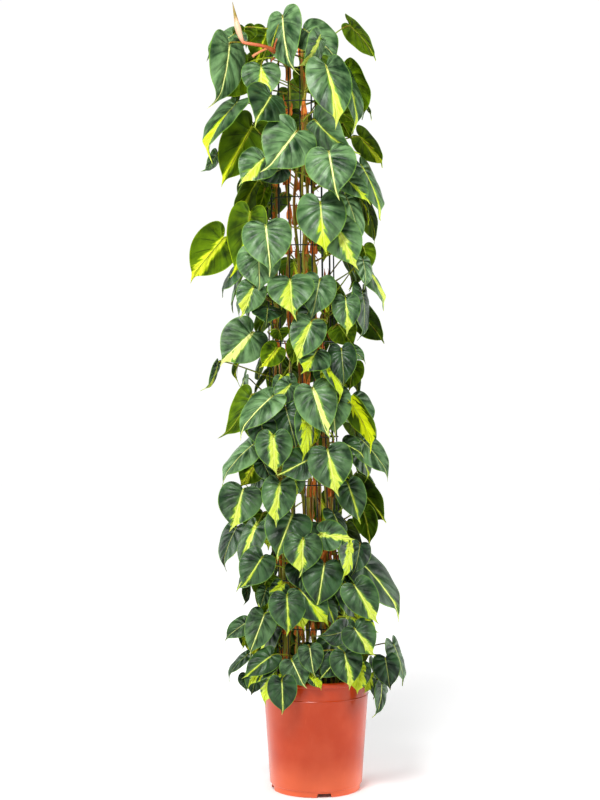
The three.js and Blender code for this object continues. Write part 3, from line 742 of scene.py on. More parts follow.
@dataclass(frozen=True)
class Column:
    """The leaning tube of welded wire, and the circle of stems inside it.

    The tube's middle starts beside the pot's axis at the foot and leans by more up to a height. A stem
    waves out and in on its circle as its solid does, and wanders a little once it is above the soil.
    """

    lean_from: float = 215
    lean_to: float = 1500
    at_foot: float = -9
    more: float = -26
    radius: float = 72
    stem_circle: float = 58
    wave: float = 1.6
    wave_length: float = 85
    wander: float = 5
    wander_length: float = 43
    wander_from: float = 235
    foot: float = 150
    top: float = 1580
    uprights: int = 18
    rings: int = 14
    ring_lowest: float = 249
    ring_pitch: float = 102
    ring_clearance: float = 15
    wire: float = 1.2
    wire_sides: int = 8
    wire_steps: int = 24
    ring_steps: int = 54
    bead: float = 2.0

    def centre(self, z: float) -> Vector:
        """The tube's middle at a height."""
        rise = clamp((z - self.lean_from) / (self.lean_to - self.lean_from), 0, 1)
        return Vector((self.at_foot + self.more * (1 - (1 - rise) ** 2), 0, z))

    def on_stem(self, vine: VineRule, z: float, is_solid: bool = False) -> Vector:
        """The middle of a vine's stem at a height.

        Args:
            vine: the vine.
            z: the height.
            is_solid: whether the solid stem is meant, which does not wander.

        Returns:
            The place on the stem's own line, which wanders a little above the soil.
        """
        wave = self.wave * math.sin(z / self.wave_length + vine.azimuth)
        free = 0 if is_solid else clamp((z - self.wander_from) / self.ring_pitch, 0, 1) * self.wander
        aside = outward(vine.azimuth + 90) * (free * math.sin(z / self.wander_length + vine.azimuth * 2))
        inwards = 0.5 * free * (1 + math.sin(z / self.wander_length * 0.7 + vine.azimuth))
        return self.centre(z) + outward(vine.azimuth) * (self.stem_circle + wave - inwards) + aside

    def clear_of_rings(self, z: float) -> float:
        """The height, moved to where a petiole passes through the middle of a mesh.

        Args:
            z: the height that is wished for.

        Returns:
            The nearest height that is clear of the rings.
        """
        above = (z - self.ring_lowest) / self.ring_pitch
        if above > self.rings - 1:
            return z
        ring = self.ring_lowest + self.ring_pitch * math.floor(above)
        return clamp(z, ring + self.ring_clearance, ring + self.ring_pitch - self.ring_clearance)

    def built(self) -> bpy.types.Object:
        """Makes the tube: smooth wires, and a small bead of weld and coating at each crossing.

        Returns:
            The object.
        """
        piece = Workpiece("wire_column", "wire", WIRE_COAT.mixed())
        levels = [blend(self.foot, self.top, i / self.wire_steps) for i in range(self.wire_steps + 1)]
        ring_heights = [self.ring_lowest + self.ring_pitch * i for i in range(self.rings)]
        for i in range(self.uprights):
            out = outward(360 / self.uprights * i)
            points = [self.centre(z) + out * self.radius for z in levels]
            piece.sweep(points, [self.wire] * len(points), self.wire_sides)
            for z in ring_heights:
                bead = bmesh.new()
                middle = self.centre(z) + out * (self.radius + self.wire)
                place = Matrix.Translation(middle)
                bmesh.ops.create_icosphere(bead, subdivisions=1, radius=self.bead, matrix=place)
                piece.take(bead)
        for z in ring_heights:
            ring = bmesh.new()
            centre = self.centre(z)
            reach = self.radius + 2 * self.wire
            turn = Matrix.Translation(centre + Vector((reach, 0, 0))) @ Matrix.Rotation(math.pi / 2, 4, "X")
            bmesh.ops.create_circle(ring, segments=self.wire_sides, radius=self.wire, matrix=turn)
            bmesh.ops.spin(
                ring,
                geom=ring.edges[:],
                cent=centre,
                axis=UP,
                angle=math.tau,
                steps=self.ring_steps,
                use_merge=True,
            )
            bmesh.ops.recalc_face_normals(ring, faces=ring.faces[:])
            piece.take(ring)
        return piece.finished(None, "mesh_column")


COLUMN = Column()


@dataclass(frozen=True)
class Variegation:
    """The pale streak of a blade, in shares of its width, how pale its marks are, and its share of painted
    sheen.
    """

    middle: float
    drift: float
    base_width: float
    tip_width: float
    cream: float
    rib: float
    sage: float


class Look(Enum):
    """The patterns that the leaves of this plant show."""

    PLAIN = Variegation(0, 0, -0.05, -0.05, 0.5, 0.5, 0.8)
    LINE = Variegation(0, 0, 0.012, 0.01, 0.9, 1, 0.8)
    YELLOW_LINE = Variegation(0.004, 0.02, 0.014, 0.034, 0.15, 0.9, 0.45)
    WIDENING = Variegation(0.0, 0.05, 0.0, 0.13, 0.35, 1, 0.6)
    TAIL = Variegation(0, -0.04, -0.05, 0.2, 0.1, 0.8, 0.5)
    WIDE = Variegation(-0.035, 0.02, 0.06, 0.12, 0.35, 0.9, 0.6)
    LEFT = Variegation(-0.005, -0.15, 0.02, 0.17, 0.3, 1, 0.7)
    RIGHT = Variegation(0.005, 0.15, 0.02, 0.17, 0.3, 1, 0.7)
    CREAM_RIGHT = Variegation(0.02, 0.08, 0.02, 0.1, 0.85, 1, 0.9)
    SAGE = Variegation(0, 0, -0.05, -0.05, 0.6, 0.6, 1)
    SAGE_LINE = Variegation(0, 0, 0.012, 0.014, 0.8, 0.95, 1)
    # The dark looks have little painted sheen: they stand for darker leaves and for leaves that lie in
    # shade.
    DARK = Variegation(0, 0, -0.05, -0.05, 0.3, 0.35, 0.15)
    DARK_LINE = Variegation(0, 0, 0.01, 0.018, 0.4, 0.85, 0.25)
    LIME = Variegation(0, 0.05, 0.2, 0.3, 0.05, 0.6, 0.4)


# The eye that reads the front, and the depths at which its layers of leaves hang
EYE = Vector((-34.7, -3357, 838))
MIDDLE = -110
INNER = -86
FRONT = -132
SIDE = -42
FAR = 15

# Joint x and z, tip x and z, width in view, turn, lean and depth as read from the front; then the look
LEAVES = (
    (-178, 1630, -238, 1572, 60, -50, 5, SIDE, Look.PLAIN),
    (-188, 1610, -219, 1467, 75, 20, 6, -75, Look.LINE),
    (-150, 1565, -210, 1485, 85, 180, -8, -20, Look.PLAIN),
    (-119, 1560, -120, 1477, 80, 0, 12, -95, Look.RIGHT),
    (-106, 1634, -130, 1560, 75, 180, -8, -10, Look.YELLOW_LINE),
    (-155, 1645, -150, 1600, 50, 180, -50, SIDE, Look.PLAIN),
    (-72, 1670, -50, 1541, 75, -10, 10, -82, Look.LINE),
    (-95, 1640, -68, 1585, 50, 180, -30, 40, Look.PLAIN),
    (-27, 1641, 52, 1568, 75, 40, 10, -60, Look.PLAIN),
    (8, 1621, -34, 1556, 45, 50, 12, -86, Look.WIDE),
    (22, 1561, 50, 1426, 88, 0, 10, -112, Look.WIDENING),
    (62, 1553, 111, 1446, 70, 120, 0, -55, Look.PLAIN),
    (62, 1545, 88, 1417, 45, 60, 6, -88, Look.YELLOW_LINE),
    (30, 1478, 84, 1440, 60, 180, -20, INNER, Look.PLAIN),
    (50, 1452, 78, 1400, 55, 180, -12, -60, Look.PLAIN),
    (-98, 1497, -136, 1437, 95, 10, 40, -106, Look.DARK_LINE),
    (-172, 1480, -244, 1362, 55, -70, 4, SIDE, Look.TAIL),
    (-172, 1474, -186, 1437, 25, 150, -30, FAR, Look.PLAIN),
    (-140, 1427, -209, 1300, 95, 180, -6, SIDE, Look.YELLOW_LINE),
    (-215, 1372, -246, 1330, 25, 60, 0, FAR, Look.PLAIN),
    (-43, 1419, -113, 1328, 112, 0, 12, FRONT, Look.LINE),
    (-112, 1362, -168, 1305, 75, -20, 14, MIDDLE, Look.RIGHT),
    (-70, 1340, -132, 1312, 50, 0, 20, INNER, Look.DARK),
    (-100, 1345, -128, 1314, 25, -40, 20, -95, Look.PLAIN),
    (0, 1443, 88, 1368, 75, -45, 10, -118, Look.YELLOW_LINE),
    (28, 1375, 46, 1272, 104, 0, 12, FRONT, Look.LINE),
    (98, 1345, 140, 1228, 50, 65, 4, SIDE, Look.YELLOW_LINE),
    (60, 1320, 119, 1263, 45, 20, 10, MIDDLE, Look.TAIL),
    (-128, 1311, -172, 1202, 70, -120, -4, SIDE, Look.TAIL),
    (-110, 1295, -133, 1236, 28, 130, -8, -50, Look.PLAIN),
    (-143, 1242, -179, 1100, 80, 150, -4, -60, Look.YELLOW_LINE),
    (-201, 1189, -278, 1095, 95, 180, -8, SIDE, Look.WIDE),
    (-109, 1216, -97, 1108, 100, 0, 12, FRONT, Look.LINE),
    (-125, 1160, -121, 1068, 95, 0, 10, MIDDLE, Look.SAGE),
    (9, 1266, 20, 1152, 100, 0, 12, FRONT, Look.TAIL),
    (65, 1277, 94, 1168, 45, 50, 8, -70, Look.SAGE),
    (45, 1215, 88, 1118, 80, 10, 10, MIDDLE, Look.WIDE),
    (103, 1170, 118, 1112, 45, 180, -20, SIDE, Look.PLAIN),
    (101, 1142, 106, 1078, 35, 50, 8, SIDE, Look.SAGE),
    (107, 1126, 150, 1032, 40, 75, 4, -30, Look.RIGHT),
    (-56, 1099, -50, 1015, 105, 0, 30, FRONT, Look.LEFT),
    (8, 1098, -10, 1010, 75, 0, 16, MIDDLE, Look.PLAIN),
    (-10, 1008, -43, 916, 72, 0, 12, FRONT, Look.LEFT),
    (64, 1057, 70, 978, 58, 0, 12, -100, Look.WIDENING),
    (100, 1072, 97, 965, 35, 70, 4, -50, Look.DARK),
    (-135, 1085, -160, 1015, 60, 0, 10, MIDDLE, Look.LEFT),
    (-105, 1036, -108, 1000, 78, 0, 55, MIDDLE, Look.DARK),
    (-139, 984, -213, 915, 95, 0, 10, -70, Look.CREAM_RIGHT),
    (-213, 917, -244, 854, 15, 70, 0, -30, Look.RIGHT),
    (-85, 950, -120, 905, 50, 180, -10, -80, Look.WIDE),
    (-80, 990, -72, 962, 40, 180, -45, INNER, Look.PLAIN),
    (-45, 965, -52, 910, 35, 180, -8, -84, Look.PLAIN),
    (2, 945, -28, 893, 80, 0, 40, -120, Look.TAIL),
    (20, 912, 57, 834, 25, 60, 10, -125, Look.LIME),
    (55, 948, 62, 862, 60, 0, 14, MIDDLE, Look.DARK),
    (50, 1000, 84, 950, 60, 180, -16, -70, Look.SAGE),
    (70, 950, 110, 920, 30, 20, 20, -60, Look.SAGE),
    (80, 915, 72, 855, 50, 180, -10, -50, Look.PLAIN),
    (-140, 848, -205, 752, 60, 160, -6, SIDE, Look.PLAIN),
    (-95, 845, -172, 757, 60, -40, 10, -118, Look.SAGE_LINE),
    (-55, 872, -90, 822, 50, 0, 14, MIDDLE, Look.LEFT),
    (-8, 864, 26, 752, 85, 0, 12, FRONT, Look.CREAM_RIGHT),
    (36, 853, 42, 757, 75, 0, 10, MIDDLE, Look.LINE),
    (80, 845, 120, 775, 70, 50, 10, -60, Look.YELLOW_LINE),
    (78, 830, 125, 725, 45, 120, 2, -75, Look.LIME),
    (98, 752, 162, 666, 55, 45, 8, -50, Look.SAGE),
    (58, 745, 105, 718, 45, 20, 24, -80, Look.DARK_LINE),
    (-66, 822, -40, 727, 78, 0, 10, -118, Look.DARK),
    (-22, 800, -30, 706, 40, 0, 12, -125, Look.LIME),
    (-5, 785, -8, 735, 28, 180, -8, -84, Look.LIME),
    (-92, 760, -90, 675, 75, 0, 12, FRONT, Look.WIDE),
    (-100, 815, -122, 768, 45, 0, 8, -92, Look.DARK_LINE),
    (-118, 790, -112, 725, 60, 0, 10, -100, Look.DARK),
    (-20, 707, -83, 674, 68, 0, 30, -124, Look.DARK_LINE),
    (25, 730, 45, 628, 92, 0, 12, FRONT, Look.WIDENING),
    (-135, 742, -208, 655, 45, -65, 4, -55, Look.SAGE),
    (-132, 698, -165, 647, 55, 180, -14, SIDE, Look.WIDE),
    (-125, 735, -150, 690, 50, 180, -30, -20, Look.DARK),
    (-115, 705, -92, 655, 45, 0, 10, INNER, Look.DARK),
    (-158, 644, -183, 552, 90, -10, 10, -70, Look.WIDENING),
    (-78, 658, -88, 562, 70, 0, 12, FRONT, Look.LEFT),
    (-45, 668, -50, 622, 40, 0, 14, MIDDLE, Look.RIGHT),
    (69, 657, 95, 568, 62, 10, 10, -84, Look.YELLOW_LINE),
    (103, 598, 118, 520, 50, 180, -8, SIDE, Look.DARK_LINE),
    (-52, 588, -90, 490, 95, 0, 12, MIDDLE, Look.DARK_LINE),
    (-128, 565, -160, 460, 50, -40, 8, -80, Look.WIDE),
    (-117, 497, -163, 427, 72, 0, 12, -112, Look.YELLOW_LINE),
    (-172, 562, -203, 468, 45, -50, 4, -20, Look.DARK),
    (-28, 537, -30, 453, 88, 0, 14, FRONT, Look.LEFT),
    (12, 548, 84, 535, 62, 0, 40, -104, Look.WIDE),
    (18, 482, 2, 382, 84, 0, 12, FRONT, Look.DARK_LINE),
    (72, 524, 58, 447, 30, 65, 6, -100, Look.LIME),
    (95, 525, 80, 455, 50, 20, 8, -60, Look.DARK),
    (90, 492, 188, 360, 70, 60, 4, SIDE, Look.DARK_LINE),
    (84, 468, 138, 427, 40, 45, 12, -75, Look.YELLOW_LINE),
    (83, 437, 133, 350, 70, 10, 10, -100, Look.WIDENING),
    (-105, 455, -125, 400, 60, 180, -10, -45, Look.PLAIN),
    (-72, 440, -102, 400, 38, 0, 12, -95, Look.LIME),
    (-63, 413, -60, 325, 75, 0, 12, FRONT, Look.YELLOW_LINE),
    (-33, 425, 32, 348, 72, 0, 12, -104, Look.TAIL),
    (20, 405, 40, 344, 35, 0, 10, -100, Look.YELLOW_LINE),
    (62, 445, 90, 335, 52, 0, 8, -92, Look.DARK),
    (88, 365, 136, 331, 38, 0, 14, -96, Look.LIME),
    (62, 338, 2, 325, 52, 0, 45, -112, Look.DARK),
    (84, 343, 125, 280, 70, 0, 12, -116, Look.WIDENING),
    (-14, 303, -4, 236, 52, 0, 12, -120, Look.LINE),
    (-52, 273, -23, 211, 62, 0, 12, -118, Look.SAGE_LINE),
    (-74, 229, -71, 155, 60, 0, 6, -126, Look.DARK_LINE),
    (-84, 240, -115, 177, 42, -50, 8, -100, Look.LIME),
    (-10, 240, 14, 211, 25, 30, 6, -122, Look.LIME),
    (48, 280, 7, 231, 48, 0, 10, -116, Look.DARK_LINE),
    (62, 290, 77, 210, 66, 0, 12, FRONT, Look.WIDENING),
    (94, 262, 89, 200, 50, 0, 12, -116, Look.LIME),
    (118, 245, 106, 200, 26, 30, 8, -70, Look.LIME),
    (150, 278, 160, 207, 56, 10, 8, -50, Look.DARK),
    (168, 308, 189, 217, 30, 65, 4, -30, Look.PLAIN),
    (142, 222, 127, 147, 24, 60, 4, -40, Look.DARK_LINE),
    (126, 236, 125, 188, 20, 60, 4, FAR, Look.DARK),
    (-112, 374, -147, 282, 62, 0, 8, -90, Look.SAGE_LINE),
    (-150, 356, -200, 317, 40, -30, 6, SIDE, Look.PLAIN),
    (-160, 332, -158, 297, 15, 50, 4, -25, Look.LIME),
    (-148, 286, -195, 232, 20, -65, 4, SIDE, Look.DARK),
    (-95, 285, -160, 233, 50, -10, 14, -108, Look.YELLOW_LINE),
    (-98, 268, -150, 214, 32, -50, 14, -100, Look.LIME),
    (-128, 250, -140, 196, 45, 0, 8, -75, Look.DARK),
    (-150, 242, -152, 206, 36, 0, 30, -30, Look.DARK),
    (-108, 430, -122, 383, 34, 0, 14, -80, Look.SAGE),
    (-150, 437, -155, 392, 18, 60, 4, SIDE, Look.DARK),
)


@dataclass(frozen=True)
class Reach:
    """A range of values that the far leaves take in turn: its start, its size and the stride through it."""

    start: float
    size: float
    stride: float

    def value(self, number: int) -> float:
        """The value of a leaf by its number."""
        return self.start + self.size * (number * self.stride % 1)


@dataclass(frozen=True)
class FarSide:
    """The rule by which leaves hang on the side that the photograph does not show."""

    count: int = 48
    lowest: float = 262
    highest: float = 1655
    azimuth: Reach = Reach(96, 168, 0.618)
    distance: Reach = Reach(102, 42, 0.41)
    lean: Reach = Reach(8, 24, 0.53)
    sway: Reach = Reach(-34, 68, 0.77)
    length: Reach = Reach(84, 30, 0.29)
    turn: Reach = Reach(-30, 60, 0.37)
    width_share: Reach = Reach(0.76, 0.14, 0.67)


@dataclass(frozen=True)
class Blade:
    """A blade's joint, its three directions, its length and its width."""

    joint: Vector
    along: Vector
    across: Vector
    normal: Vector
    length: float
    width: float

    @classmethod
    def hung(cls, joint: Vector, tip: Vector, faced: Vector, turn: float, width: float) -> Blade:
        """Hangs a blade between its joint and its tip.

        Args:
            joint: where the petiole meets it.
            tip: its tip.
            faced: the way that its upper face looks before it is turned.
            turn: its turn round its own length, in radians.
            width: its greatest width.

        Returns:
            The blade.
        """
        along = (tip - joint).normalized()
        normal = (faced - along * faced.dot(along)).normalized()
        normal = Matrix.Rotation(-turn, 3, along) @ normal
        return cls(joint, along, normal.cross(along), normal, (tip - joint).length, width)

    def point(self, a: float, b: float, height: float) -> Vector:
        """The place at shares of the length and the width, a height above the blade's plane."""
        place = self.joint + self.along * (a * self.length) + self.across * (b * self.width)
        return place + self.normal * height


@dataclass(frozen=True)
class Leaf:
    """A blade with its petiole's path, its vine and its look."""

    blade: Blade
    petiole: list[Vector]
    vine: int
    look: Look
    seed: float


@dataclass(frozen=True)
class Placing:
    """The rules by which a leaf hangs where its solid does.

    Slimmest and broadest are widths as shares of the length. A petiole leaves its stem a drop below the
    joint, goes out and up through the tube, and enters the blade from behind and beneath.
    """

    slimmest: float = 0.66
    broadest: float = 0.98
    drop: float = 30
    lowest_root: float = 238
    below_top: float = 4
    exit_out: float = 42
    exit_up: float = 8.4
    exit_from_arch: float = 14
    entry_back: float = 16
    entry_under: float = 8
    arch_from: float = 1515
    petiole_steps: int = 10
    degrees_per_mm: float = 0.5
    reach_above_top: float = 40

    def vine_for(self, joint: Vector) -> int:
        """The number of the vine that a leaf grows on: near in azimuth, and leafy at its height.

        Args:
            joint: where the leaf's petiole meets its blade.

        Returns:
            The number, from 1.
        """
        away = joint - COLUMN.centre(joint.z)
        azimuth = math.degrees(math.atan2(away.x, -away.y))
        height = joint.z - self.drop

        def cost(rule: VineRule) -> float:
            """How badly a vine suits the leaf, in degrees."""
            outside = max(rule.leafy - height, height - rule.top - self.reach_above_top, 0)
            return abs((azimuth - rule.azimuth + 540) % 360 - 180) + self.degrees_per_mm * outside

        return VINES.index(min(VINES, key=cost)) + 1

    def along_sight(self, x: float, z: float, depth: float) -> Vector:
        """Where something read on the plane Y = 0 lies when it is at another depth."""
        return EYE.lerp(Vector((x, 0, z)), (depth - EYE.y) / -EYE.y)

    def true_width(self, width: float, turn: float, length: float) -> tuple[float, float]:
        """The turn in radians and the true width of a blade whose width in view is known.

        Args:
            width: the width in view.
            turn: the turn in degrees, past 90 where the under face shows.
            length: the blade's length.

        Returns:
            The turn in radians and the width.
        """
        under = abs(turn) > 90
        away = 180 - abs(turn) if under else abs(turn)
        tilt = max(math.radians(away), math.acos(min(1, width / (self.slimmest * length))))
        sign = -1 if turn < 0 else 1
        true = clamp(width / math.cos(tilt), self.slimmest * length, self.broadest * length)
        return sign * (math.pi - tilt if under else tilt), true

    def seen(self, row: Sequence[float], offset: float) -> Blade:
        """A blade read from the front, moved by an offset along the line of sight.

        Args:
            row: the leaf's eight readings.
            offset: the offset.

        Returns:
            The blade.
        """
        x_joint, z_joint, x_tip, z_tip, width, turn, lean, depth = row
        forward = math.hypot(x_tip - x_joint, z_tip - z_joint) * math.tan(math.radians(lean))
        joint = self.along_sight(x_joint, z_joint, depth + offset)
        tip = self.along_sight(x_tip, z_tip, depth + offset - forward)
        true_turn, true_width = self.true_width(width, turn, (tip - joint).length)
        return Blade.hung(joint, tip, (EYE - joint).normalized(), true_turn, true_width)

    def far(self, rule: FarSide, number: int, offset: float) -> Blade:
        """A blade on the far side, moved out by an offset.

        Args:
            rule: the rule of the far side.
            number: the leaf's number.
            offset: the offset.

        Returns:
            The blade.
        """
        z = blend(rule.lowest, rule.highest, number / (rule.count - 1))
        out = outward(rule.azimuth.value(number))
        joint = COLUMN.centre(z) + out * (rule.distance.value(number) + offset)
        lean = math.radians(rule.lean.value(number))
        sway = math.radians(rule.sway.value(number))
        length = rule.length.value(number)
        down = UP * (-length * math.cos(lean) * math.cos(sway))
        aside = UP.cross(out) * (length * math.sin(sway) * math.cos(lean))
        tip = joint + down + out * (length * math.sin(lean)) + aside
        turn = math.radians(rule.turn.value(number))
        return Blade.hung(joint, tip, out, turn, length * rule.width_share.value(number))

    def petiole(self, vine: int, blade: Blade, shift: float, is_solid: bool = False) -> tuple[Vector, ...]:
        """The curve of a petiole from its vine to the blade's joint.

        Args:
            vine: the vine's number.
            blade: the blade.
            shift: how far its root is moved up from the usual height.
            is_solid: whether the solid petiole is meant, which leaves the solid stem.

        Returns:
            The curve's four corners, from the root to the joint.
        """
        rule = VINES[vine - 1]
        if vine == 1 and blade.joint.z > self.arch_from:
            root = min(SHOOT.spots(), key=lambda spot: (spot - blade.joint - UP * shift).length)
            leave = UP * self.exit_from_arch
        else:
            wished = COLUMN.clear_of_rings(blade.joint.z - self.drop + shift)
            height = clamp(wished, self.lowest_root, rule.top - self.below_top)
            root = COLUMN.on_stem(rule, height, is_solid)
            leave = outward(rule.azimuth) * self.exit_out + UP * self.exit_up
        enter = blade.along * self.entry_back + blade.normal * self.entry_under
        return (root, root + leave, blade.joint - enter, blade.joint)

    def path(self, corners: Sequence[Vector], steps: int) -> list[Vector]:
        """Points along a petiole's curve.

        Args:
            corners: the curve's four corners.
            steps: how many steps there are from its root to its joint.

        Returns:
            The points, both ends included.
        """
        path = []
        for i in range(steps + 1):
            t = i / steps
            shares = ((1 - t) ** 3, 3 * t * (1 - t) ** 2, 3 * t**2 * (1 - t), t**3)
            path.append(sum((corner * share for corner, share in zip(corners, shares)), Vector()))
        return path


PLACING = Placing()


@dataclass(frozen=True)
class PackedVines:
    """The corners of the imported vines, which tell where each leaf's solid hangs and on which vine.

    A solid blade was moved by whole steps until it hung free, and the root of its petiole by one of the
    shifts. It has two corners at its tip, half its thickness to either side, and its petiole has three
    round each inner point of its path, which has one step more where it is long.
    """

    trees: tuple[kdtree.KDTree, ...]
    step: float = 7
    most_steps: int = 13
    shifts: tuple[float, ...] = (0, 14, -14, 28, -28, 44, -44)
    half_thickness: float = 0.4
    long_from: float = 90
    sides: int = 3
    tolerance: float = 0.05

    @classmethod
    def of(cls, nodes: dict[str, bpy.types.Object]) -> PackedVines:
        """Reads the corners of every vine in the frame, each once, as its faces do not share them.

        Args:
            nodes: the frame's nodes by name.

        Returns:
            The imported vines.
        """
        trees = []
        for number in range(1, len(VINES) + 1):
            node = nodes[f"vine_{number:02d}"]
            corners = {tuple(node.matrix_world @ vertex.co / MM) for vertex in node.data.vertices}
            trees.append(tree_of(sorted(corners)))
        return cls(tuple(trees))

    def blade_miss(self, blade: Blade, vine: int) -> float:
        """How far a blade's tip is from the nearest corners of a vine, at the worse of its two."""
        sides = (-self.half_thickness, self.half_thickness)
        return max(self.trees[vine - 1].find(blade.point(1, 0, side))[2] for side in sides)

    def petiole_miss(self, blade: Blade, vine: int, shift: float) -> float:
        """How far a petiole's inner points are from the middle of the nearest corners of a vine.

        Args:
            blade: the petiole's blade.
            vine: the vine's number.
            shift: how far its root is moved up from the usual height.

        Returns:
            The distance at the worst of the points.
        """
        corners = PLACING.petiole(vine, blade, shift, is_solid=True)
        steps = 3 if (corners[0] - corners[-1]).length > self.long_from else 2
        misses = []
        for point in PLACING.path(corners, steps)[1:-1]:
            near = [found[0] for found in self.trees[vine - 1].find_n(point, self.sides)]
            misses.append((sum(near, Vector()) / self.sides - point).length)
        return max(misses)

    def found(self, moved: Callable[[float], Blade]) -> tuple[Blade, int, float]:
        """Finds where a leaf's solid hangs.

        Args:
            moved: gives the leaf's blade at a move from its reading or its rule.

        Returns:
            The blade, the number of its vine and the shift of its petiole's root.

        Raises:
            ValueError: if no vine has the leaf.
        """
        blades = [moved(self.step * i) for i in range(-self.most_steps, self.most_steps + 1)]
        tries = [(blade, vine) for blade in blades for vine in range(1, len(VINES) + 1)]
        blade, vine = min(tries, key=lambda pair: self.blade_miss(*pair))
        if self.blade_miss(blade, vine) > self.tolerance:
            raise ValueError(f"No vine of the frame has the leaf at {blade.joint}")
        return blade, vine, min(self.shifts, key=lambda shift: self.petiole_miss(blade, vine, shift))


@dataclass(frozen=True)
class BladePattern:
    """A flat leaf shape to cut blades from, and how each is bent as it is hung.

    The margin's rows give its place along the blade, its distance from the rib, and where the vein that
    ends there leaves the rib. Arch, rise, droop, wave and curl bend the blade, its furrows follow the
    veins, and its tip sways to one side. The lobes vary between two lengths, as shares of the margin's.
    The painted sage sheen and the lightness of the green fade from one height on the plant down to
    another, to their least share: painted shade, as less light reaches the lower leaves.
    """

    margin: tuple[tuple[float, float, float], ...]
    rows: int = 26
    columns: int = 14
    thickness: float = 0.7
    broad: float = 1.0
    arch: float = 0.06
    rise: float = 0.3
    droop: float = 0.75
    wave: float = 0.014
    furrow: float = 0.0
    furrows: float = 7
    fully_lit_from: float = 1350
    deepest_shade_from: float = 250
    deepest_shade: float = 0.35
    vein_bow: float = 1.25
    ripples: tuple[float, float] = (2.3, 5.1)
    curl_from: float = 0.72
    tip_sway: float = 0.09
    sway_from: float = 0.75
    lobe_lengths: tuple[float, float] = (1.3, 0.65)
    merging: float = 1e-5

    def cut(self) -> bmesh.types.BMesh:
        """Cuts the flat shape: shares of length and width across, millimetres in thickness.

        Returns:
            The mesh, with a layer for each set of numbers that the material reads.
        """
        stations = curve_through(self.margin, 8)
        flat = bmesh.new()
        bmesh.ops.create_grid(flat, x_segments=self.rows, y_segments=self.columns, size=1)
        for name in ("blade_flat", "blade_vein", "blade_streak", "blade_tint_and_sheen"):
            flat.verts.layers.float_vector.new(name)
        vein = flat.verts.layers.float_vector["blade_vein"]
        for vertex in flat.verts:
            row = (vertex.co.x + 1) / 2
            spread = vertex.co.y
            place = row * (len(stations) - 1)
            step = min(int(place), len(stations) - 2)
            along, half, rib = stations[step].lerp(stations[step + 1], place - step)
            reach = abs(spread) ** self.vein_bow
            vertex[vein] = (row, spread, 0)
            vertex.co = (rib + (along - rib) * reach, half * spread * self.broad, 0)
        bmesh.ops.remove_doubles(flat, verts=flat.verts[:], dist=self.merging)
        bmesh.ops.solidify(flat, geom=flat.faces[:], thickness=self.thickness)
        bmesh.ops.recalc_face_normals(flat, faces=flat.faces[:])
        middle = sum(vertex.co.z for vertex in flat.verts) / len(flat.verts)
        for vertex in flat.verts:
            vertex.co.z -= middle
        for face in flat.faces:
            face.material_index = 1 if face.normal.z < -0.5 else 0
        return flat

    def height(self, blade: Blade, a: float, b: float, row: float, spread: float, seed: float) -> float:
        """How high the bent blade stands over its plane.

        Args:
            blade: the blade.
            a: the share of its length.
            b: the share of its width.
            row: the vein's place along the margin.
            spread: the share of the way from the rib to the margin.
            seed: the leaf's own number from 0 to 1.

        Returns:
            The height in millimetres.
        """
        bow = blade.length * self.arch * 4 * a * (1 - a)
        bowl = blade.width * (self.rise * (0.6 + 0.8 * seed) * abs(b) - self.droop * b * b)
        slow, quick = self.ripples
        ripple = math.sin(math.tau * (slow * row + 7 * seed)) * spread**2
        ripple += 0.6 * math.sin(math.tau * (quick * row + 3 * seed) + spread * 2) * abs(spread) ** 3
        groove = math.cos(math.tau * self.furrows * row) * 4 * abs(spread) * (1 - abs(spread))
        curl = blade.length * (0.1 + 0.5 * seed) * max(0, a - self.curl_from) ** 2 * 4
        return bow + bowl + ripple * blade.width * self.wave + groove * self.furrow - curl

    def hang(self, flat: bmesh.types.BMesh, leaf: Leaf) -> bmesh.types.BMesh:
        """Bends a copy of the flat shape into a leaf's blade.

        Args:
            flat: the shape as it was cut.
            leaf: the leaf.

        Returns:
            The blade's mesh, with the numbers that its material reads.
        """
        part = flat.copy()
        layers = part.verts.layers.float_vector
        shape, vein = layers["blade_flat"], layers["blade_vein"]
        streak, tint = layers["blade_streak"], layers["blade_tint_and_sheen"]
        look = leaf.look.value
        sway = math.sin(29 * leaf.seed)
        # Painted shade: the lower a leaf hangs, the less painted sheen it has and the darker its green.
        up = clamp((leaf.blade.joint.z - self.deepest_shade_from) / (self.fully_lit_from - self.deepest_shade_from), 0, 1)
        sage = look.sage * blend(self.deepest_shade, 1, up)
        for vertex in part.verts:
            a, b, lift = vertex.co
            row, spread, _ = vertex[vein]
            vertex[shape] = (a, b, leaf.seed)
            vertex[vein] = (row, spread, look.rib)
            vertex[streak] = (look.middle, look.drift, look.base_width)
            vertex[tint] = (look.tip_width, look.cream, sage)
            rise = self.height(leaf.blade, a, b, row, spread, leaf.seed)
            aside = self.tip_sway * sway * (max(0, a - self.sway_from) / (1 - self.sway_from)) ** 2
            reach = a * blend(*self.lobe_lengths, leaf.seed) if a < 0 else a
            vertex.co = leaf.blade.point(reach, b + aside, rise + lift)
        return part


HEART = BladePattern(
    margin=(
        (0, 0, 0),
        (-0.065, 0.035, 0),
        (-0.135, 0.115, 0),
        (-0.165, 0.225, 0.0),
        (-0.14, 0.34, 0.01),
        (-0.045, 0.437, 0.03),
        (0.095, 0.492, 0.055),
        (0.255, 0.502, 0.09),
        (0.41, 0.468, 0.14),
        (0.545, 0.395, 0.21),
        (0.655, 0.303, 0.3),
        (0.74, 0.205, 0.41),
        (0.8, 0.118, 0.54),
        (0.852, 0.055, 0.68),
        (0.92, 0.022, 0.84),
        (1, 0, 1),
    ),
    rows=36,
    broad=1.04,
    furrow=0.9,
)
SHEATH = BladePattern(
    margin=(
        (0, 0, 0),
        (0.01, 0.3, 0.02),
        (0.12, 0.5, 0.08),
        (0.4, 0.46, 0.33),
        (0.7, 0.27, 0.62),
        (0.9, 0.09, 0.86),
        (1, 0, 1),
    ),
    rows=10,
    columns=6,
    thickness=0.4,
    arch=-0.1,
    rise=0.1,
    droop=-1.2,
    wave=0.08,
    tip_sway=0,
)


